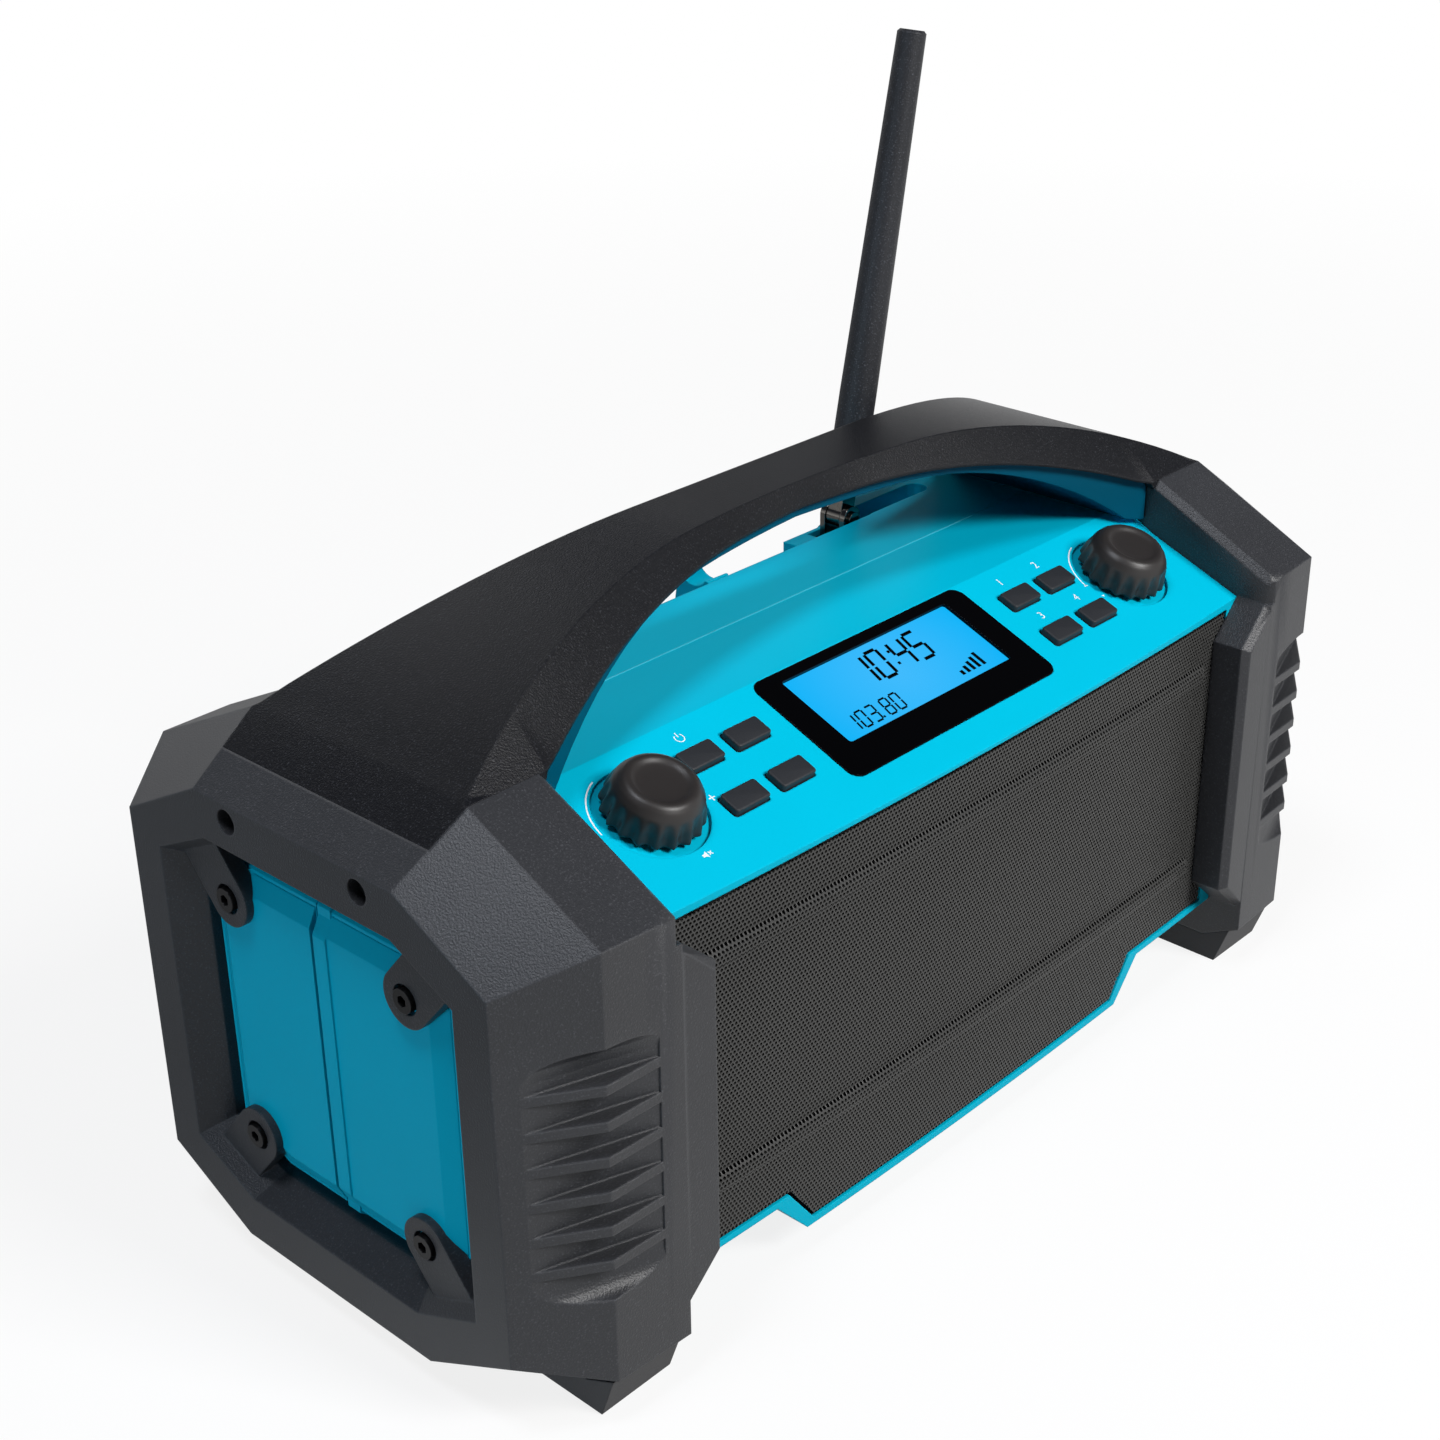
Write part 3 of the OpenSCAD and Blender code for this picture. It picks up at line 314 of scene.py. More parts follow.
grainSetup = {
    "cloud": (22, 3),            # scale and detail of the slow change of tone
    "pitDetail": 2,
    "edgeSamples": 4,
    "toneStops": (0.3, 0.7),
    "wearAndHighlight": (0.99, 0.86),        # cosine where an edge begins to look rubbed and lit and is fully so: wear and painted highlight
    "wearAndHighlightLift": 0.01,
    # light specks painted as glints: where they begin and are full, their tint and lift
    "paintedGlint": (0.6, 0.74),
    "paintedGlintTint": 4,
    "paintedGlintLift": 0.02,
}


# moulded grain, a slow change of tone, edges lightened as wear and painted highlight and, where a glint
# share is given, light specks painted as glints
def grainMaterial(name, rgb, roughness=0.5, grain=1400, bump=0.15, bumpSize=0.00012,
                  tone=0.06, edge=0.35, edgeWidth=0.0007, metallic=0.0, specular=0.5,
                  edgeTint=1.9, roughSpread=0.08, paintedGlint=0.0):
    g = grainSetup
    mat = bpy.data.materials.new(name)
    mat.use_nodes = True
    tree = mat.node_tree
    link = tree.links.new
    base = toLinear(rgb)
    skin = tree.nodes["Principled BSDF"]
    skin.inputs["Metallic"].default_value = metallic
    skin.inputs["Specular IOR Level"].default_value = specular
    place = addNode(tree, "TexCoord")
    cloud = addNode(tree, "TexNoise")
    cloud.inputs["Scale"].default_value, cloud.inputs["Detail"].default_value = g["cloud"]
    link(place.outputs["Object"], cloud.inputs["Vector"])
    pits = addNode(tree, "TexNoise")
    pits.inputs["Scale"].default_value = grain
    pits.inputs["Detail"].default_value = g["pitDetail"]
    link(place.outputs["Object"], pits.inputs["Vector"])
    softEdge = addNode(tree, "Bevel", samples=g["edgeSamples"])
    softEdge.inputs["Radius"].default_value = edgeWidth
    height = addNode(tree, "Bump")
    height.inputs["Strength"].default_value = bump
    height.inputs["Distance"].default_value = bumpSize
    link(pits.outputs["Fac"], height.inputs["Height"])
    link(softEdge.outputs["Normal"], height.inputs["Normal"])
    link(height.outputs["Normal"], skin.inputs["Normal"])
    # the tone follows half the cloud and half the grain
    half = addNode(tree, "Math", operation="MULTIPLY")
    half.inputs[1].default_value = 0.5
    blend = addNode(tree, "Math", operation="MULTIPLY_ADD")
    blend.inputs[1].default_value = 0.5
    ramp = addNode(tree, "ValToRGB")
    for stop, at, share in zip(ramp.color_ramp.elements, g["toneStops"], (1 - tone, 1 + tone)):
        stop.position = at
        stop.color = (*(c * share for c in base), 1)
    link(pits.outputs["Fac"], half.inputs[0])
    link(cloud.outputs["Fac"], blend.inputs[0])
    link(half.outputs[0], blend.inputs[2])
    link(blend.outputs[0], ramp.inputs["Fac"])
    # an edge shows where the rounded normal leaves the true one, and is lightened there: part wear,
    # part painted highlight
    geometry = addNode(tree, "NewGeometry")
    dot = addNode(tree, "VectorMath", operation="DOT_PRODUCT")
    link(geometry.outputs["Normal"], dot.inputs[0])
    link(softEdge.outputs["Normal"], dot.inputs[1])
    wearAndHighlight = addNode(tree, "Mix", data_type="RGBA")
    wearAndHighlight.inputs["B"].default_value = (*(min(1, c * edgeTint + g["wearAndHighlightLift"]) for c in base), 1)
    link(addRange(tree, dot.outputs["Value"], *g["wearAndHighlight"], 0, edge), wearAndHighlight.inputs["Factor"])
    link(ramp.outputs["Color"], wearAndHighlight.inputs["A"])
    link(wearAndHighlight.outputs["Result"], skin.inputs["Base Color"])
    # light specks on the grain, painted as glints
    if paintedGlint:
        glintMix = addNode(tree, "Mix", data_type="RGBA")
        light = (min(1, c * g["paintedGlintTint"] + g["paintedGlintLift"]) for c in base)
        glintMix.inputs["B"].default_value = (*light, 1)
        link(addRange(tree, pits.outputs["Fac"], *g["paintedGlint"], 0, paintedGlint), glintMix.inputs["Factor"])
        link(wearAndHighlight.outputs["Result"], glintMix.inputs["A"])
        link(glintMix.outputs["Result"], skin.inputs["Base Color"])
    rough = addRange(tree, pits.outputs["Fac"], 0, 1, roughness - roughSpread, roughness + roughSpread)
    link(rough, skin.inputs["Roughness"])
    return mat


# in these rows the edge share lightens edges as wear and painted highlight, and a glint share gives
# light specks painted as glints
finishes = {
    "shellTeal": {"rgb": (0, 178, 208), "roughness": 0.42, "grain": 2600, "bump": 0.1, "tone": 0.03,
                  "edge": 0.35, "edgeTint": 1.35, "edgeWidth": 0.0005, "specular": 0.06},
    # the next finish is the shell's teal darkened as painted shade, for the handle's core
    "coreShadeTeal": {"rgb": (0, 78, 102), "roughness": 0.42, "grain": 2600, "bump": 0.1, "tone": 0.03,
                 "edge": 0.35, "edgeTint": 1.35, "edgeWidth": 0.0005, "specular": 0.06},
    # the next finish is the shell's teal lightened as a painted highlight along the deck seam
    "seamHighlightTeal": {"rgb": (70, 205, 228), "roughness": 0.4, "grain": 2600, "bump": 0.05, "tone": 0.02,
                 "edge": 0.0, "specular": 0.1},
    "bumperGrey": {"rgb": (46, 47, 50), "roughness": 0.4, "grain": 1900, "bump": 1.0, "tone": 0.2,
                   "edge": 0.5, "edgeTint": 2.4, "edgeWidth": 0.0009, "specular": 0.36,
                   "paintedGlint": 0.3},
    "coverBlack": {"rgb": (14, 15, 19), "roughness": 0.4, "grain": 2000, "bump": 0.9, "tone": 0.25,
                   "edge": 0.4, "edgeTint": 2.4, "edgeWidth": 0.0008, "specular": 0.2,
                   "paintedGlint": 0.8},
    "footRubber": {"rgb": (50, 50, 52), "roughness": 0.62, "grain": 1700, "bump": 0.35, "tone": 0.1,
                   "specular": 0.35},
    "screwBlack": {"rgb": (28, 28, 29), "roughness": 0.33, "grain": 3000, "bump": 0.08,
                   "metallic": 0.6, "edge": 0.6, "edgeWidth": 0.0003},
    "zincSteel": {"rgb": (150, 152, 156), "roughness": 0.32, "grain": 2500, "bump": 0.05,
                  "metallic": 1.0},
    "grilleMetal": {"rgb": (62, 62, 61), "roughness": 0.42, "grain": 2200, "bump": 0.06,
                    "edge": 0.25, "edgeWidth": 0.00012, "specular": 0.25},
    "dustCloth": {"rgb": (5, 5, 6), "roughness": 0.9, "grain": 2400, "bump": 0.3, "tone": 0.2,
                  "specular": 0.02},
    "basketSteel": {"rgb": (38, 38, 40), "roughness": 0.45, "grain": 1500, "bump": 0.1,
                    "metallic": 0.4},
    "conePaper": {"rgb": (22, 22, 23), "roughness": 0.85, "grain": 900, "bump": 0.5, "tone": 0.2},
    "boardGreen": {"rgb": (18, 84, 50), "roughness": 0.35, "grain": 900, "bump": 0.06},
    "switchBlack": {"rgb": (26, 26, 27), "roughness": 0.5, "grain": 2000, "bump": 0.1},
    "knobRubber": {"rgb": (39, 36, 35), "roughness": 0.4, "grain": 3200, "bump": 0.08, "tone": 0.05,
                   "edge": 0.1, "specular": 0.4},
    "keyRubber": {"rgb": (34, 36, 40), "roughness": 0.55, "grain": 2400, "bump": 0.4, "tone": 0.14,
                  "edge": 0.35, "edgeWidth": 0.0004, "specular": 0.35},
    "forkNickel": {"rgb": (120, 118, 114), "roughness": 0.16, "grain": 1200, "bump": 0.03,
                   "metallic": 1.0, "edge": 0.2, "edgeTint": 1.1, "edgeWidth": 0.0004},
    "antennaRubber": {"rgb": (34, 35, 39), "roughness": 0.5, "grain": 1900, "bump": 1.0,
                      "tone": 0.3, "specular": 0.3, "paintedGlint": 0.7},
    "latchBlack": {"rgb": (30, 30, 33), "roughness": 0.45, "grain": 1900, "bump": 0.3},
    "cellWrap": {"rgb": (120, 122, 126), "roughness": 0.25, "grain": 600, "bump": 0.03,
                 "metallic": 0.5},
    "flapRubber": {"rgb": (36, 37, 40), "roughness": 0.65, "grain": 1800, "bump": 0.3},
    "borderBlack": {"rgb": (3, 3, 4), "roughness": 0.12, "grain": 1500, "bump": 0.01, "tone": 0.02,
                    "edge": 0.1, "edgeWidth": 0.0004, "roughSpread": 0.02, "specular": 0.08},
}
finish = {name: grainMaterial(name, **row) for name, row in finishes.items()}

nodeFinishes = {
    "shellTeal": ["front_shell", "rear_shell", "battery_door"],
    "bumperGrey": ["left_bumper", "right_bumper"],
    "coverBlack": ["handle_cover"],
    "footRubber": ["foot_front_left", "foot_front_right", "foot_rear_left", "foot_rear_right"],
    "screwBlack": ["end_screws", "guard_screws"],
    "zincSteel": ["shell_screws", "speaker_screws", "control_screws", "board_screws", "volume_shaft",
                  "tune_shaft", "encoder_bodies", "usb_port", "dc_pin"],
    "basketSteel": ["speaker_left", "speaker_right"],
    "conePaper": ["cone_left", "cone_right"],
    "boardGreen": ["control_board", "main_board"],
    "switchBlack": ["key_switches", "volume_rotor", "tune_rotor", "battery_tray", "port_panel",
                    "dc_inlet", "aux_jack"],
    "forkNickel": ["antenna_fork", "antenna_pin", "antenna_knuckle"],
    "antennaRubber": ["antenna_sleeve"],
    "latchBlack": ["battery_latch"],
    "cellWrap": ["cells"],
    "flapRubber": ["port_cover"],
    "grilleMetal": ["grille"],
    "borderBlack": ["display_lens", "display_module"],
}


def dressNodes():
    for name, members in nodeFinishes.items():
        for node in members:
            nodes[node].data.materials.clear()
            nodes[node].data.materials.append(finish[name])


# smooth copies of swept CAD skins

skinSetup = {
    "weld": 0.000004,      # metres, as the next
    "sliver": 0.000002,
    # node, piece, slot, finish, angle below which an edge is smooth
    "rows": [("handle_cover", "handle_skin", "cover_black", "coverBlack", 18),
             ("front_shell", "front_case", "shell_teal", "shellTeal", 6),
             ("rear_shell", "rear_case", "shell_teal", "shellTeal", 6),
             ("left_bumper", "left_guard", "bumper_grey", "bumperGrey", 3),
             ("right_bumper", "right_guard", "bumper_grey", "bumperGrey", 3)],
    "shaded": ("front_case", "rear_case"),
    "coreAbove": 152.2,
}


def smoothCopy(node, pieceName, material, degrees):
    bm = bmesh.new()
    bm.from_mesh(nodes[node].data)
    for e in bm.edges:
        e.smooth = not e.is_boundary
    bmesh.ops.remove_doubles(bm, verts=bm.verts, dist=skinSetup["weld"])
    bmesh.ops.dissolve_degenerate(bm, edges=bm.edges, dist=skinSetup["sliver"])
    for e in bm.edges:
        if not e.smooth and e.is_manifold and e.calc_face_angle(1) < math.radians(degrees):
            e.smooth = True
    for f in bm.faces:
        f.smooth = True
    piece = meshObject(pieceName, bm)
    return finishPiece(piece, "radio", material, (node,))


# the core of the handle, above the deck, gets a deeper teal: painted shade
def shadeCore(case):
    case.data.materials.append(finish["coreShadeTeal"])
    for f in case.data.polygons:
        if f.center.z > skinSetup["coreAbove"] * mm:
            f.material_index = 1


def makeSkins():
    for node, name, slot, look, degrees in skinSetup["rows"]:
        skin = smoothCopy(node, name, finish[look], degrees)
        if name in skinSetup["shaded"]:
            shadeCore(skin)


# raised end panels, in two halves with a band and a groove beside the seam
endSetup = {
    "window": [(58, 46.2), (36.8, 56.6), (-36.8, 56.6), (-58, 46.2),
               (-58, -46.3), (-34.7, -56.7), (34.7, -56.7), (58, -46.3)],
    "middle": 79,
    "levels": ((170.95, 0.8), (173.6, 0.705)),   # distance from the middle, size of the window
    "taper": 0.03,
    "strips": [(-60, -2.6, 0), (-2.6, 2.4, 0.5), (4.2, 60, 0)],   # from y, to y, extra height
}


def makeEndStrip(side, y0, y1, lift):
    e = endSetup
    (foot, footShare), (top, topShare) = e["levels"]
    strip = bmesh.new()
    rings = []
    for x, share in ((foot, footShare), (top + lift, topShare - e["taper"] * lift)):
        rings.append([strip.verts.new((side * x, y * share, e["middle"] + z * share))
                      for y, z in e["window"]])
    low, high = rings
    strip.faces.new(low)
    strip.faces.new(high)
    for k in range(len(low)):
        strip.faces.new((low[k - 1], low[k], high[k], high[k - 1]))
    for at, outward in ((y0, -1), (y1, 1)):
        cut = cutPlane(strip, (0, at, 0), (0, outward, 0), drop=True)
        edges = [g for g in cut if isinstance(g, bmesh.types.BMEdge)]
        if edges:
            bmesh.ops.contextual_create(strip, geom=edges)
    mesh = bpy.data.meshes.new("strip")
    strip.to_mesh(mesh)
    strip.free()
    return mesh


def makeEndPanels():
    for side, name in ((-1, "left_panel"), (1, "right_panel")):
        bm = bmesh.new()
        for row in endSetup["strips"]:
            strip = makeEndStrip(side, *row)
            bm.from_mesh(strip)
            bpy.data.meshes.remove(strip)
        toMetres(bm)
        panel = meshObject(name, bm, recalc=True)
        finishPiece(panel, "radio", finish["shellTeal"])


# lip where the two shells meet on the deck, in a lighter teal that is a painted highlight
seamSetup = {
    "reach": 96,
    "at": 3.0,
    "wide": 0.5,
    "sunk": -0.2,
    "high": 0.12,
    "deck": 151.1,
}


def makeSeam():
    m = seamSetup
    bm = bmesh.new()
    slabBlock(bm, 2 * m["reach"], m["wide"], m["sunk"], m["high"])
    bmesh.ops.translate(bm, verts=bm.verts, vec=(0, m["at"], m["deck"]))
    toMetres(bm)
    seam = meshObject("deck_seam", bm, recalc=True)
    finishPiece(seam, "radio", finish["seamHighlightTeal"])


# perforated front

grilleSetup = {
    "pitch": 1.4,
    "hole": 1.08,
    "spare": 3,          # tiles beyond the sheet's edges
    "weld": 0.02,
    "thick": 0.6,
    "face": 77.0,        # distance of the sheet's face in front of the middle
    "bow": 0.0001716,
    "outline": [(-126.6, 24.7), (-82.44, 24.7), (-72.54, 11.7), (72.54, 11.7), (82.44, 24.7),
                (126.6, 24.7), (126.6, 130.5), (-126.6, 130.5)],
    "rim": 1.1,
    "rimOver": 0.05,
    "rimThick": 0.9,
    "ridges": [113, 44],
    "ridgeHalf": 2.4,
    "ridgeSoft": 0.9,
    "ridgeHigh": 1.5,
    "ridgeEnd": 115,
    "ridgeFade": 2,
    "cuts": [-126.6, -64, 0, 64, 126.6],
    "bendStep": 6,
    "bendSteps": 21,
    "clothInset": 0.3,
    "clothBack": 0.75,
    "clothThick": 0.15,
}


def sheetDepth(x, z):
    g = grilleSetup
    lift = 0
    for at in g["ridges"]:
        near = (g["ridgeHalf"] + g["ridgeSoft"] - abs(z - at)) / (2 * g["ridgeSoft"])
        near = min(max(near, 0), 1)
        end = min(max((g["ridgeEnd"] - abs(x)) / g["ridgeFade"], 0), 1)
        lift = max(lift, near * near * (3 - 2 * near) * end * g["ridgeHigh"])
    return -(g["face"] - g["bow"] * x * x) - lift


def bendSheet(bm):
    for v in bm.verts:
        x, z = v.co.x, v.co.y
        v.co = Vector((x, sheetDepth(x, z) + v.co.z, z)) * mm


# the flat sheets are drawn with z as their y; this gives their lowest and highest z
def sheetSpan():
    heights = [z for x, z in grilleSetup["outline"]]
    return min(heights), max(heights)


# a field of six-sided tiles, each with a hole, grown from two tiles by doubling rows and columns
def holeField(x0, x1):
    g = grilleSetup
    pitch, step = g["pitch"], g["pitch"] * math.sqrt(3) / 2
    bottom, top = sheetSpan()
    bm = bmesh.new()
    for row in (0, 1):
        outer = bmesh.ops.create_circle(bm, cap_ends=True, segments=6,
                                        radius=pitch / math.sqrt(3))["verts"]
        face = outer[0].link_faces[0]
        bmesh.ops.translate(bm, verts=outer, vec=(row * pitch / 2, row * step, 0))
        middle = face.calc_center_median()
        bmesh.ops.inset_region(bm, faces=[face], thickness=0.1, use_even_offset=True, use_boundary=True)
        share = (g["hole"] / 2) / (face.verts[0].co - middle).length
        bmesh.ops.scale(bm, verts=face.verts, vec=(share, share, 1), space=Matrix.Translation(-middle))
        bmesh.ops.delete(bm, geom=[face], context="FACES")
    columns = int((x1 - x0) / pitch) + g["spare"]
    rows = int((top - bottom) / (2 * step)) + g["spare"]
    for count, move in ((columns, Vector((pitch, 0, 0))), (rows, Vector((0, 2 * step, 0)))):
        tile = whole(bm)
        for k in range(1, count):
            copy = bmesh.ops.duplicate(bm, geom=tile)["geom"]
            moved = [e for e in copy if isinstance(e, bmesh.types.BMVert)]
            bmesh.ops.translate(bm, verts=moved, vec=move * k)
    start = math.floor(x0 / pitch) * pitch
    bmesh.ops.translate(bm, verts=bm.verts, vec=(start, bottom - step, 0))
    bmesh.ops.remove_doubles(bm, verts=bm.verts, dist=g["weld"])
    return bm


def trimToOutline(bm, x0, x1, inset):
    (sideX, sideZ), (footX, footZ) = grilleSetup["outline"][1:3]
    bottom, top = sheetSpan()
    sill = sideZ + inset
    cutPlane(bm, (x0, 0, 0), (-1, 0, 0), drop=True)
    cutPlane(bm, (x1, 0, 0), (1, 0, 0), drop=True)
    cutPlane(bm, (0, top - inset, 0), (0, 1, 0), drop=True)
    cutPlane(bm, (0, bottom + inset, 0), (0, -1, 0), drop=True)
    # the lower step: split at the sill and drop what lies beyond the slanted sides
    cutPlane(bm, (0, sill, 0), (0, 1, 0))
    run, drop = footX - sideX, sideZ - footZ
    for side in (-1, 1):
        normal = Vector((side * drop, -run, 0)) / math.hypot(run, drop)
        at = Vector((-side * sideX, sideZ, 0)) - normal * inset
        low = [f for f in bm.faces if f.calc_center_median().y < sill]
        edges = list({e for f in low for e in f.edges})
        verts = list({v for f in low for v in f.verts})
        cutPlane(bm, at, normal, parts=verts + edges + low)
        gone = [f for f in bm.faces if f.calc_center_median().y < sill
                and (f.calc_center_median() - at).dot(normal) > 0]
        bmesh.ops.delete(bm, geom=gone, context="FACES")


# upright cuts, so that a flat face can follow the bow
def cutForBow(bm):
    g = grilleSetup
    for k in range(-g["bendSteps"], g["bendSteps"] + 1):
        cutPlane(bm, (k * g["bendStep"], 0, 0), (1, 0, 0))


# a closed sheet whose face looks to the front
def finishSheet(name, bm, thickness, material):
    sheet = meshObject(name, bm, recalc=True)
    if sum(p.normal.y for p in sheet.data.polygons) > 0:
        sheet.data.flip_normals()
    thicken(sheet, thickness)
    return finishPiece(sheet, "radio", material, ("grille",))


def makeGrille():
    g = grilleSetup
    last = len(g["cuts"]) - 2
    for k, (x0, x1) in enumerate(zip(g["cuts"], g["cuts"][1:])):
        left = x0 + g["rim"] if k == 0 else x0
        right = x1 - g["rim"] if k == last else x1
        bm = holeField(left, right)
        trimToOutline(bm, left, right, g["rim"])
        bendSheet(bm)
        sheet = finishSheet("grille_%d" % (k + 1), bm, g["thick"], finish["grilleMetal"])
        print("grille sheet", k + 1, "faces:", len(sheet.data.polygons))


def makeGrilleRim():
    g = grilleSetup
    bm = bmesh.new()
    face = bm.faces.new([bm.verts.new((x, z, 0)) for x, z in g["outline"]])
    bmesh.ops.inset_region(bm, faces=[face], thickness=g["rim"] + g["rimOver"], use_even_offset=True,
                           use_boundary=True)
    bmesh.ops.delete(bm, geom=[face], context="FACES")
    cutForBow(bm)
    bendSheet(bm)
    finishSheet("grille_rim", bm, g["rimThick"], finish["grilleMetal"])


# black cloth stretched behind the sheets, in front of the speakers
def makeCloth():
    g = grilleSetup
    bm = bmesh.new()
    face = bm.faces.new([bm.verts.new((x, z, 0)) for x, z in g["outline"]])
    bmesh.ops.inset_region(bm, faces=[face], thickness=g["clothInset"], use_even_offset=True,
                           use_boundary=True)
    bmesh.ops.delete(bm, geom=[f for f in bm.faces if f is not face], context="FACES")
    cutForBow(bm)
    for v in bm.verts:
        x, z = v.co.x, v.co.y
        v.co = Vector((x, g["clothBack"] - g["face"] + g["bow"] * x * x, z)) * mm
    finishSheet("grille_cloth", bm, g["clothThick"], finish["dustCloth"])


# console

consoleSetup = {
    "tilt": 21.7,
    "crease": (0, -28.3, 151.1),
    "keyRows": (14.2, 31.2),
    "keyColumns": (61, 79),
    "knobAt": (104.2, 21.9),
}

knobSetup = {
    "flutes": 18,
    "stepsPerFlute": 8,
    "fluteDeep": 1.35,
    "fluteTop": 7.9,
    "fluteFrom": 11.6,     # radius where the flutes begin
    "fluteRun": 4.6,       # height over which a flute reaches its depth
    "fluteEase": 0.8,
    "fine": (7, 14),       # lines of the profile that are cut in three
    "weld": 0.03,
    "smoothTo": 60,
    "profile": [(0.02, 10.5), (4.0, 10.53), (6.3, 10.62), (7.1, 10.85), (7.7, 11.25), (8.3, 11.5),
                (9.0, 11.5), (9.9, 11.1), (11.0, 10.05), (12.0, 8.5), (12.8, 6.7), (13.4, 4.9),
                (13.8, 3.1), (14.05, 1.7), (14.1, 1.1), (13.95, 0.6), (13.5, 0.4), (11.4, 0.4),
                (11.3, 2.0), (0.02, 2.0)],
}


def makeKnob(name, node, x, body):
    k = knobSetup
    bm = bmesh.new()
    line = [bm.verts.new((r, 0, z)) for r, z in k["profile"]]
    edges = [bm.edges.new(pair) for pair in zip(line, line[1:])]
    bmesh.ops.subdivide_edges(bm, edges=edges[slice(*k["fine"])], cuts=2)
    bmesh.ops.spin(bm, geom=whole(bm), cent=(0, 0, 0), axis=(0, 0, 1), angle=math.tau,
                   steps=k["flutes"] * k["stepsPerFlute"], use_merge=True, use_duplicate=False)
    bmesh.ops.remove_doubles(bm, verts=bm.verts, dist=k["weld"])
    for v in bm.verts:
        r = math.hypot(v.co.x, v.co.y)
        z = v.co.z
        if r > k["fluteFrom"] and z < k["fluteTop"]:
            share = min((k["fluteTop"] - z) / k["fluteRun"], 1)
            wave = 0.5 + 0.5 * math.cos(k["flutes"] * math.atan2(v.co.y, v.co.x))
            cut = k["fluteDeep"] * share ** k["fluteEase"] * wave ** k["fluteEase"]
            v.co.x *= (r - cut) / r
            v.co.y *= (r - cut) / r
    toMetres(bm)
    bmesh.ops.transform(bm, matrix=onConsole(x, consoleSetup["knobAt"][1]), verts=bm.verts)
    knob = meshObject(name, bm, recalc=True)
    finishPiece(knob, body, finish["knobRubber"], (node,), k["smoothTo"])


keySetup = {
    "size": (13, 7),
    "corner": 1.0,
    "foot": -4,
    "proud": 2.0,
    "chamfer": 0.55,
    "chamferSteps": 3,
    "flange": (15.2, 9.2, -4.2, -2.9),    # width, depth, low, high
    "stem": (1.5, -6.1, -4.1, 24),        # radius, low, high, segments
    "smoothTo": 35,
}


def makeKey(node, x, s):
    k = keySetup
    bm = bmesh.new()
    slabBlock(bm, *k["size"], k["foot"], k["proud"], k["corner"])
    top = [e for e in bm.edges if all(abs(v.co.z - k["proud"]) < 0.01 for v in e.verts)]
    bmesh.ops.bevel(bm, geom=top, offset=k["chamfer"], segments=k["chamferSteps"], profile=0.5,
                    affect="EDGES", material=-1)
    slabBlock(bm, *k["flange"], k["corner"])
    cylinder(bm, *k["stem"])
    toMetres(bm)
    bmesh.ops.transform(bm, matrix=onConsole(x, s), verts=bm.verts)
    key = meshObject(node + "_cap", bm, recalc=True)
    finishPiece(key, node, finish["keyRubber"], (node,), k["smoothTo"])


def makeConsole():
    near, far = consoleSetup["keyColumns"]
    upper, lower = consoleSetup["keyRows"]
    spots = {
        "button_power": (-far, upper), "button_mode": (-near, upper),
        "button_menu": (-far, lower), "button_eq": (-near, lower),
        "button_1": (near, upper), "button_2": (far, upper),
        "button_3": (near, lower), "button_4": (far, lower),
    }
    for node, (x, s) in spots.items():
        makeKey(node, x, s)
    x = consoleSetup["knobAt"][0]
    makeKnob("volume_knob_grip", "volume_knob", -x, "volume_cap")
    makeKnob("tune_knob_grip", "tune_knob", x, "tune_cap")


# display

displaySetup = {
    "at": (0, 21.2),
    "frame": (91.5, 41.4, -1.3, 0.3),     # width, depth, low, high
    "corner": 3.9,
    "cornerSteps": 6,
    "smoothTo": 30,
    "window": (72.6, 27.0),
    "windowCorner": 1.0,
    "windowShift": 3.6,
    "faceGap": 0.1,
    "faceCorner": 0.95,
    "faceTop": -0.7,
}


def displayPlace():
    return onConsole(*displaySetup["at"]) @ Matrix.Scale(mm, 4)


# a black border with a window
def makeBorder():
    d = displaySetup
    low, high = d["frame"][2:]
    bm = bmesh.new()
    slabBlock(bm, *d["frame"], d["corner"], d["cornerSteps"])
    inner = bmesh.new()
    slabBlock(inner, *d["window"], low - 1, high + 1, d["windowCorner"])
    bmesh.ops.translate(inner, verts=inner.verts, vec=(0, d["windowShift"], 0))
    border = meshObject("display_border", bm, recalc=True)
    hole = meshObject("display_hole", inner, recalc=True)
    cut = border.modifiers.new("cut", "BOOLEAN")
    cut.operation = "DIFFERENCE"
    cut.object = hole
    cut.solver = "EXACT"
    bakeModifiers(border)
    bpy.data.objects.remove(hole)
    border.data.transform(displayPlace())
    finishPiece(border, "radio", finish["borderBlack"], ("display_lens",),
                d["smoothTo"])


def makeLitFace():
    d = displaySetup
    wide, high = (size - d["faceGap"] for size in d["window"])
    bm = bmesh.new()
    slabBlock(bm, wide, high, d["frame"][2], d["faceTop"], d["faceCorner"])
    bmesh.ops.translate(bm, verts=bm.verts, vec=(0, d["windowShift"], 0))
    bmesh.ops.transform(bm, matrix=displayPlace(), verts=bm.verts)
    face = meshObject("display_face", bm, recalc=True)
    finishPiece(face, "radio", litMaterial())


# colours of the lit face, from its middle to its ends
litSetup = {
    "at": (0, 17.6),
    "reach": 0.04,
    "glow": [(70, 194, 255), (8, 186, 250)],
    "power": 0.85,
    "base": (4, 50, 90),
    "roughness": 0.2,
    "specular": 0.05,
}


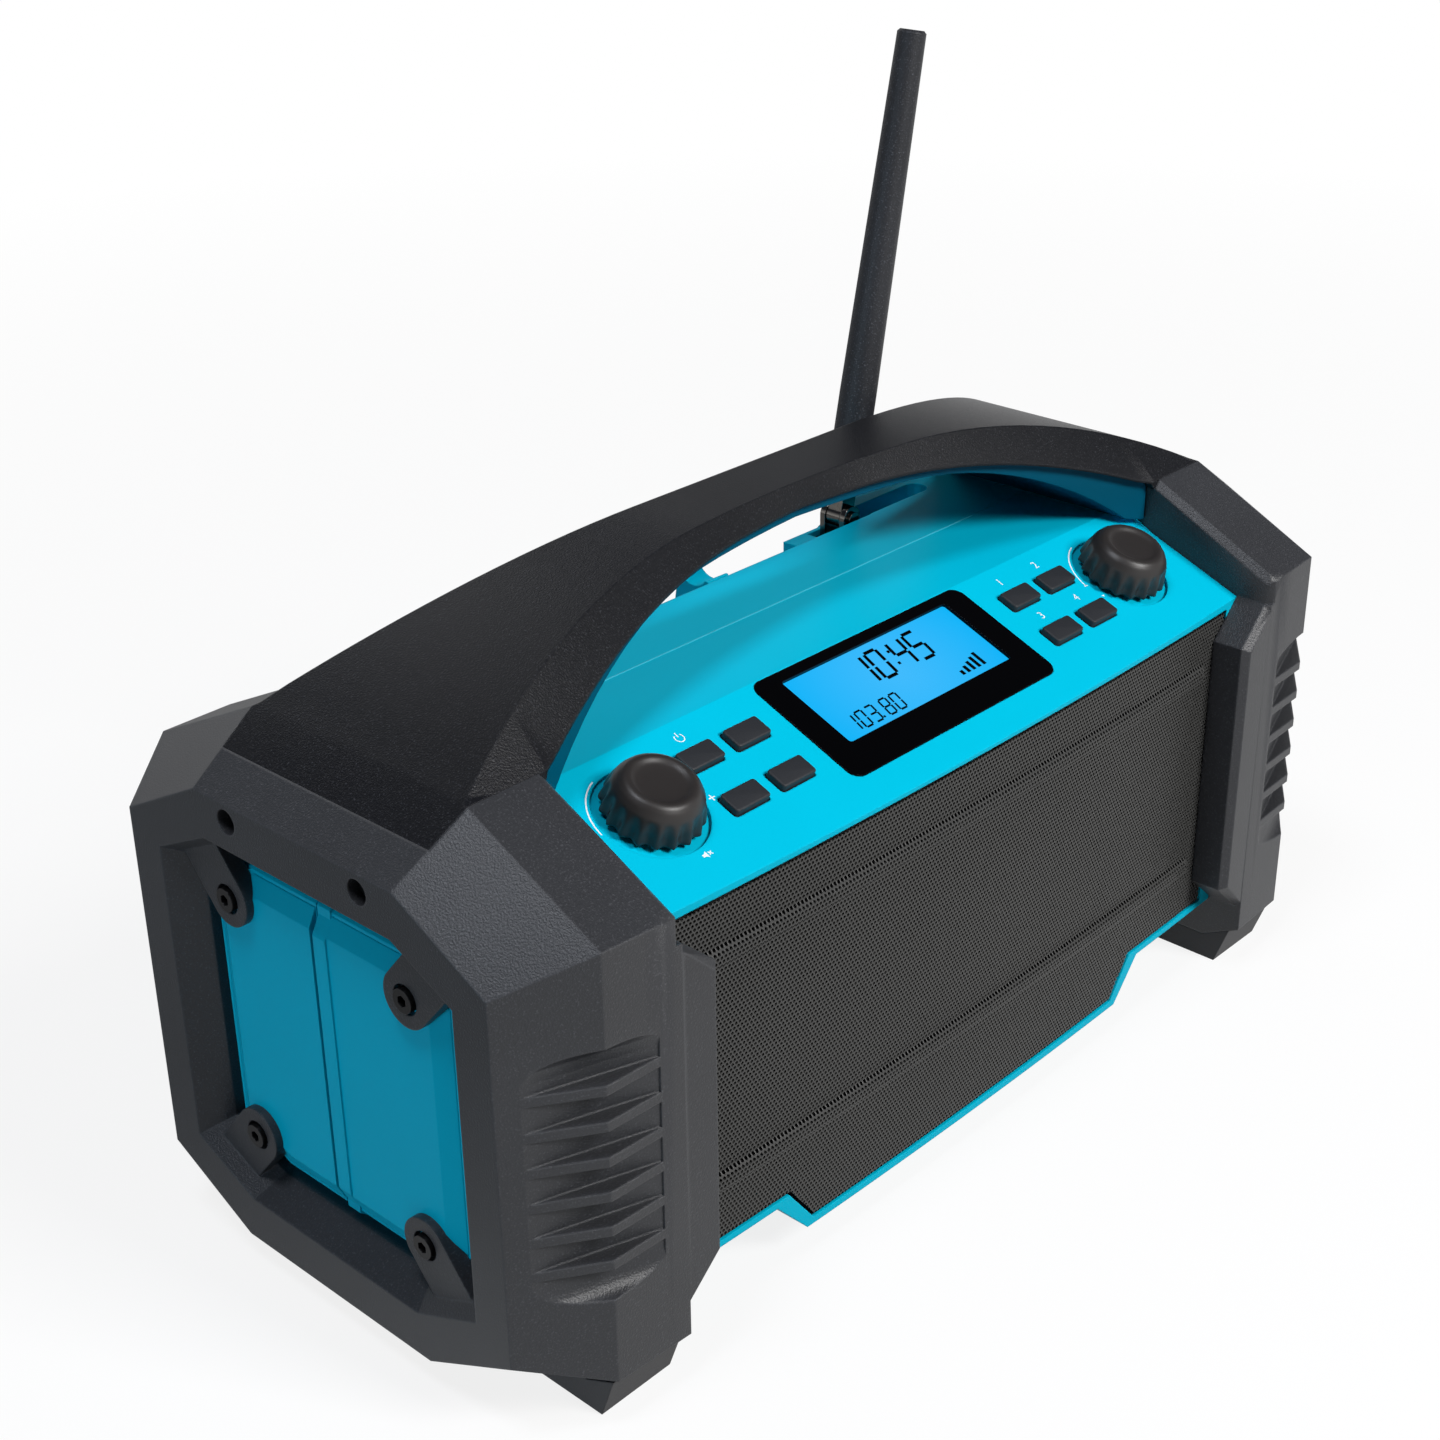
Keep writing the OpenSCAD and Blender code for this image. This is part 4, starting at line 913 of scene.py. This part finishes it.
def litMaterial():
    row = litSetup
    mat = bpy.data.materials.new("displayBlue")
    mat.use_nodes = True
    tree = mat.node_tree
    link = tree.links.new
    skin = tree.nodes["Principled BSDF"]
    place = addNode(tree, "TexCoord")
    centre = addNode(tree, "Mapping")
    centre.inputs["Location"].default_value = -onConsole(*row["at"]).translation
    ball = addNode(tree, "VectorMath", operation="LENGTH")
    ramp = addNode(tree, "ValToRGB")
    for stop, colour in zip(ramp.color_ramp.elements, row["glow"]):
        stop.color = (*toLinear(colour), 1)
    link(place.outputs["Object"], centre.inputs["Vector"])
    link(centre.outputs["Vector"], ball.inputs[0])
    link(addRange(tree, ball.outputs["Value"], 0, row["reach"]), ramp.inputs["Fac"])
    link(ramp.outputs["Color"], skin.inputs["Emission Color"])
    skin.inputs["Emission Strength"].default_value = row["power"]
    skin.inputs["Base Color"].default_value = (*toLinear(row["base"]), 1)
    skin.inputs["Specular IOR Level"].default_value = row["specular"]
    skin.inputs["Roughness"].default_value = row["roughness"]
    return mat


digitSetup = {
    "segments": {"0": "abcdef", "1": "bc", "3": "abgcd", "4": "fgbc", "5": "afgcd", "8": "abcdefg"},
    "wide": 5.0,
    "high": 10.6,
    "stroke": 1.15,
    "gap": 0.3,         # between two strokes, as a share of a stroke
    "lean": 0.12,
    "thick": 0.06,
    "level": -0.66,
    "lines": [("1045", (-9.5, -2.2, 7.4, 14.7), 5.2, 1.0),      # digits, their x, y, size
              ("10380", (-29, -24.6, -20.2, -14.2, -9.8), -8.2, 0.56)],
    "dots": [(3.032, 2.6, 1.0), (3.032, 7.6, 1.0), (-16.968, -10.7, 0.7)],
    "signal": {"bars": 5, "at": (18, -9.8), "step": (2.4, 0.45), "size": (1.3, 1.8), "growth": 0.9},
}


def addBar(bm, x, y, w, h, lean=0.0):
    made = bmesh.ops.create_grid(bm, x_segments=1, y_segments=1, size=0.5)["verts"]
    bmesh.ops.scale(bm, verts=made, vec=(w, h, 1))
    bmesh.ops.translate(bm, verts=made, vec=(x, y, 0))
    for v in made:
        v.co.x += lean * v.co.y


def addDigit(bm, digit, x, y, size):
    d = digitSetup
    w, h, s = d["wide"] * size, d["high"] * size, d["stroke"] * size
    gap = s * d["gap"]
    level, upright = (w - 2 * gap, s), (s, h / 2 - 2 * gap)
    spots = {
        "a": (0, h / 2, *level), "g": (0, 0, *level), "d": (0, -h / 2, *level),
        "f": (-w / 2, h / 4, *upright), "b": (w / 2, h / 4, *upright),
        "e": (-w / 2, -h / 4, *upright), "c": (w / 2, -h / 4, *upright),
    }
    before = len(bm.verts)
    for name in d["segments"][digit]:
        addBar(bm, *spots[name], d["lean"])
    bmesh.ops.translate(bm, verts=list(bm.verts)[before:], vec=(x, y, 0))


def makeDigits():
    d = digitSetup
    bm = bmesh.new()
    for text, places, y, size in d["lines"]:
        for digit, x in zip(text, places):
            addDigit(bm, digit, x, y, size)
    for x, y, size in d["dots"]:
        addBar(bm, x, y, size, size, d["lean"])
    row = d["signal"]
    (x, y), (stepX, stepY), (wide, high) = row["at"], row["step"], row["size"]
    for k in range(row["bars"]):
        addBar(bm, x + k * stepX, y + k * stepY, wide, high + k * row["growth"])
    bmesh.ops.translate(bm, verts=bm.verts, vec=(0, displaySetup["windowShift"], d["level"]))
    raiseFaces(bm, d["thick"])
    bmesh.ops.transform(bm, matrix=displayPlace(), verts=bm.verts)
    digits = meshObject("display_digits", bm, recalc=True)
    finishPiece(digits, "radio", finish["borderBlack"])


# prints on the console

printSetup = {
    "high": 0.03,
    "arcs": {"arc_volume": (-1, 111, 178), "arc_tune": (1, 108, 177)},   # side, from, to
    "arcRadius": 16.6,
    "arcWide": 0.42,
    "arcSteps": 24,
    "arcHead": ("arc_tune", 1.1),        # the arc that ends in a head, size of the head
    "numeral": 4.05,
    "numeralShift": (0.6, -8.3),
}


def printMaterial():
    return grainMaterial("printWhite", (232, 236, 238), roughness=0.5, grain=2600, bump=0.05,
                         tone=0.02, edge=0.0)


def raisePrint(bm, name, place, ink):
    raiseFaces(bm, printSetup["high"])
    bmesh.ops.transform(bm, matrix=place @ Matrix.Scale(mm, 4), verts=bm.verts)
    piece = meshObject(name, bm, recalc=True)
    finishPiece(piece, "radio", ink)


# a flat band along an arc, angles in degrees
def addBand(bm, radius, wide, start, end, steps):
    ends = [bm.verts.new((r, 0, 0)) for r in (radius, radius + wide)]
    edge = bm.edges.new(ends)
    bmesh.ops.spin(bm, geom=[*ends, edge], cent=(0, 0, 0), axis=(0, 0, 1),
                   angle=math.radians(end - start), steps=steps)
    bmesh.ops.rotate(bm, verts=bm.verts, cent=(0, 0, 0),
                     matrix=Matrix.Rotation(math.radians(start), 3, "Z"))


# a small triangle that ends a band at the given radius and angle
def addHead(bm, radius, angle, size):
    turn = math.radians(angle) + math.pi / 2
    middle = Vector((radius * math.cos(math.radians(angle)), radius * math.sin(math.radians(angle)), 0))
    half = size * 0.75
    corners = [Vector((-size, 0, 0)), Vector((0, -half, 0)), Vector((0, half, 0))]
    bm.faces.new([bm.verts.new(middle + Matrix.Rotation(turn, 3, "Z") @ c) for c in corners])


def makeArcs(ink):
    p = printSetup
    x, s = consoleSetup["knobAt"]
    for name, (side, start, end) in p["arcs"].items():
        bm = bmesh.new()
        addBand(bm, p["arcRadius"], p["arcWide"], start, end, p["arcSteps"])
        headed, size = p["arcHead"]
        if name == headed:
            addHead(bm, p["arcRadius"] + p["arcWide"] / 2, end, size)
        raisePrint(bm, name, onConsole(side * x, s), ink)


def makeNumerals(ink):
    p = printSetup
    shiftX, shiftS = p["numeralShift"]
    spots = [(x, s) for s in consoleSetup["keyRows"] for x in consoleSetup["keyColumns"]]
    for number, (x, s) in enumerate(spots, 1):
        name = "numeral_%d" % number
        curve = bpy.data.curves.new(name, "FONT")
        curve.body = str(number)
        curve.size = p["numeral"]
        curve.extrude = p["high"] / 2
        curve.align_x = "CENTER"
        curve.align_y = "CENTER"
        holder = bpy.data.objects.new(name + "_curve", curve)
        bpy.context.collection.objects.link(holder)
        bpy.context.view_layer.update()
        graph = bpy.context.evaluated_depsgraph_get()
        mesh = bpy.data.meshes.new_from_object(holder.evaluated_get(graph))
        bpy.data.objects.remove(holder)
        lift = Matrix.Translation((0, 0, p["high"] / 2))
        mesh.transform(onConsole(x + shiftX, s + shiftS) @ Matrix.Scale(mm, 4) @ lift)
        piece = bpy.data.objects.new(name, mesh)
        bpy.context.collection.objects.link(piece)
        finishPiece(piece, "radio", ink)


# generic signs drawn from bands, bars, faces and heads, in the order of their arguments
markSetup = {
    # an open ring with a stroke
    "mark_power": {"at": (-78, 5.7), "bands": [(1.25, 0.35, 130, 410, 20)],
                   "bars": [(0, 1.2, 0.36, 1.7)]},
    "mark_plus": {"at": (-86.2, 26.3),
                  "bars": [(0, 0, 2.2, 0.38), (0, 0.65, 0.38, 0.92), (0, -0.65, 0.38, 0.92)]},
    # a small horn and a cross
    "mark_mute": {"at": (-102, 40.2), "bars": [(-0.9, 0, 0.8, 0.9)],
                  "faces": [[(-0.5, -0.45), (0.35, -1.15), (0.35, 1.15), (-0.5, 0.45)],
                            [(0.92, 0.67), (2.02, -0.43), (1.78, -0.67), (0.68, 0.43)],
                            [(0.68, -0.43), (1.78, 0.67), (2.02, 0.43), (0.92, -0.67)]]},
    "mark_dot": {"at": (88.9, 26.4), "heads": [(0, 0, 0.8)]},
}


def makeMarks(ink):
    for name, row in markSetup.items():
        bm = bmesh.new()
        for band in row.get("bands", ()):
            addBand(bm, *band)
        for bar in row.get("bars", ()):
            addBar(bm, *bar)
        for corners in row.get("faces", ()):
            bm.faces.new([bm.verts.new((x, y, 0)) for x, y in corners])
        for head in row.get("heads", ()):
            addHead(bm, *head)
        raisePrint(bm, name, onConsole(*row["at"]), ink)


# making

bpy.context.scene.view_settings.view_transform = "Standard"
makeCamera()
makeLights()
makeWorld()
makeFloor()
print("studio done")
dressNodes()
makeSkins()
makeEndPanels()
makeSeam()
print("shells done")
makeGrille()
makeGrilleRim()
makeCloth()
print("grille done")
makeConsole()
makeBorder()
makeLitFace()
makeDigits()
printInk = printMaterial()
makeArcs(printInk)
makeNumerals(printInk)
makeMarks(printInk)
print("console done")
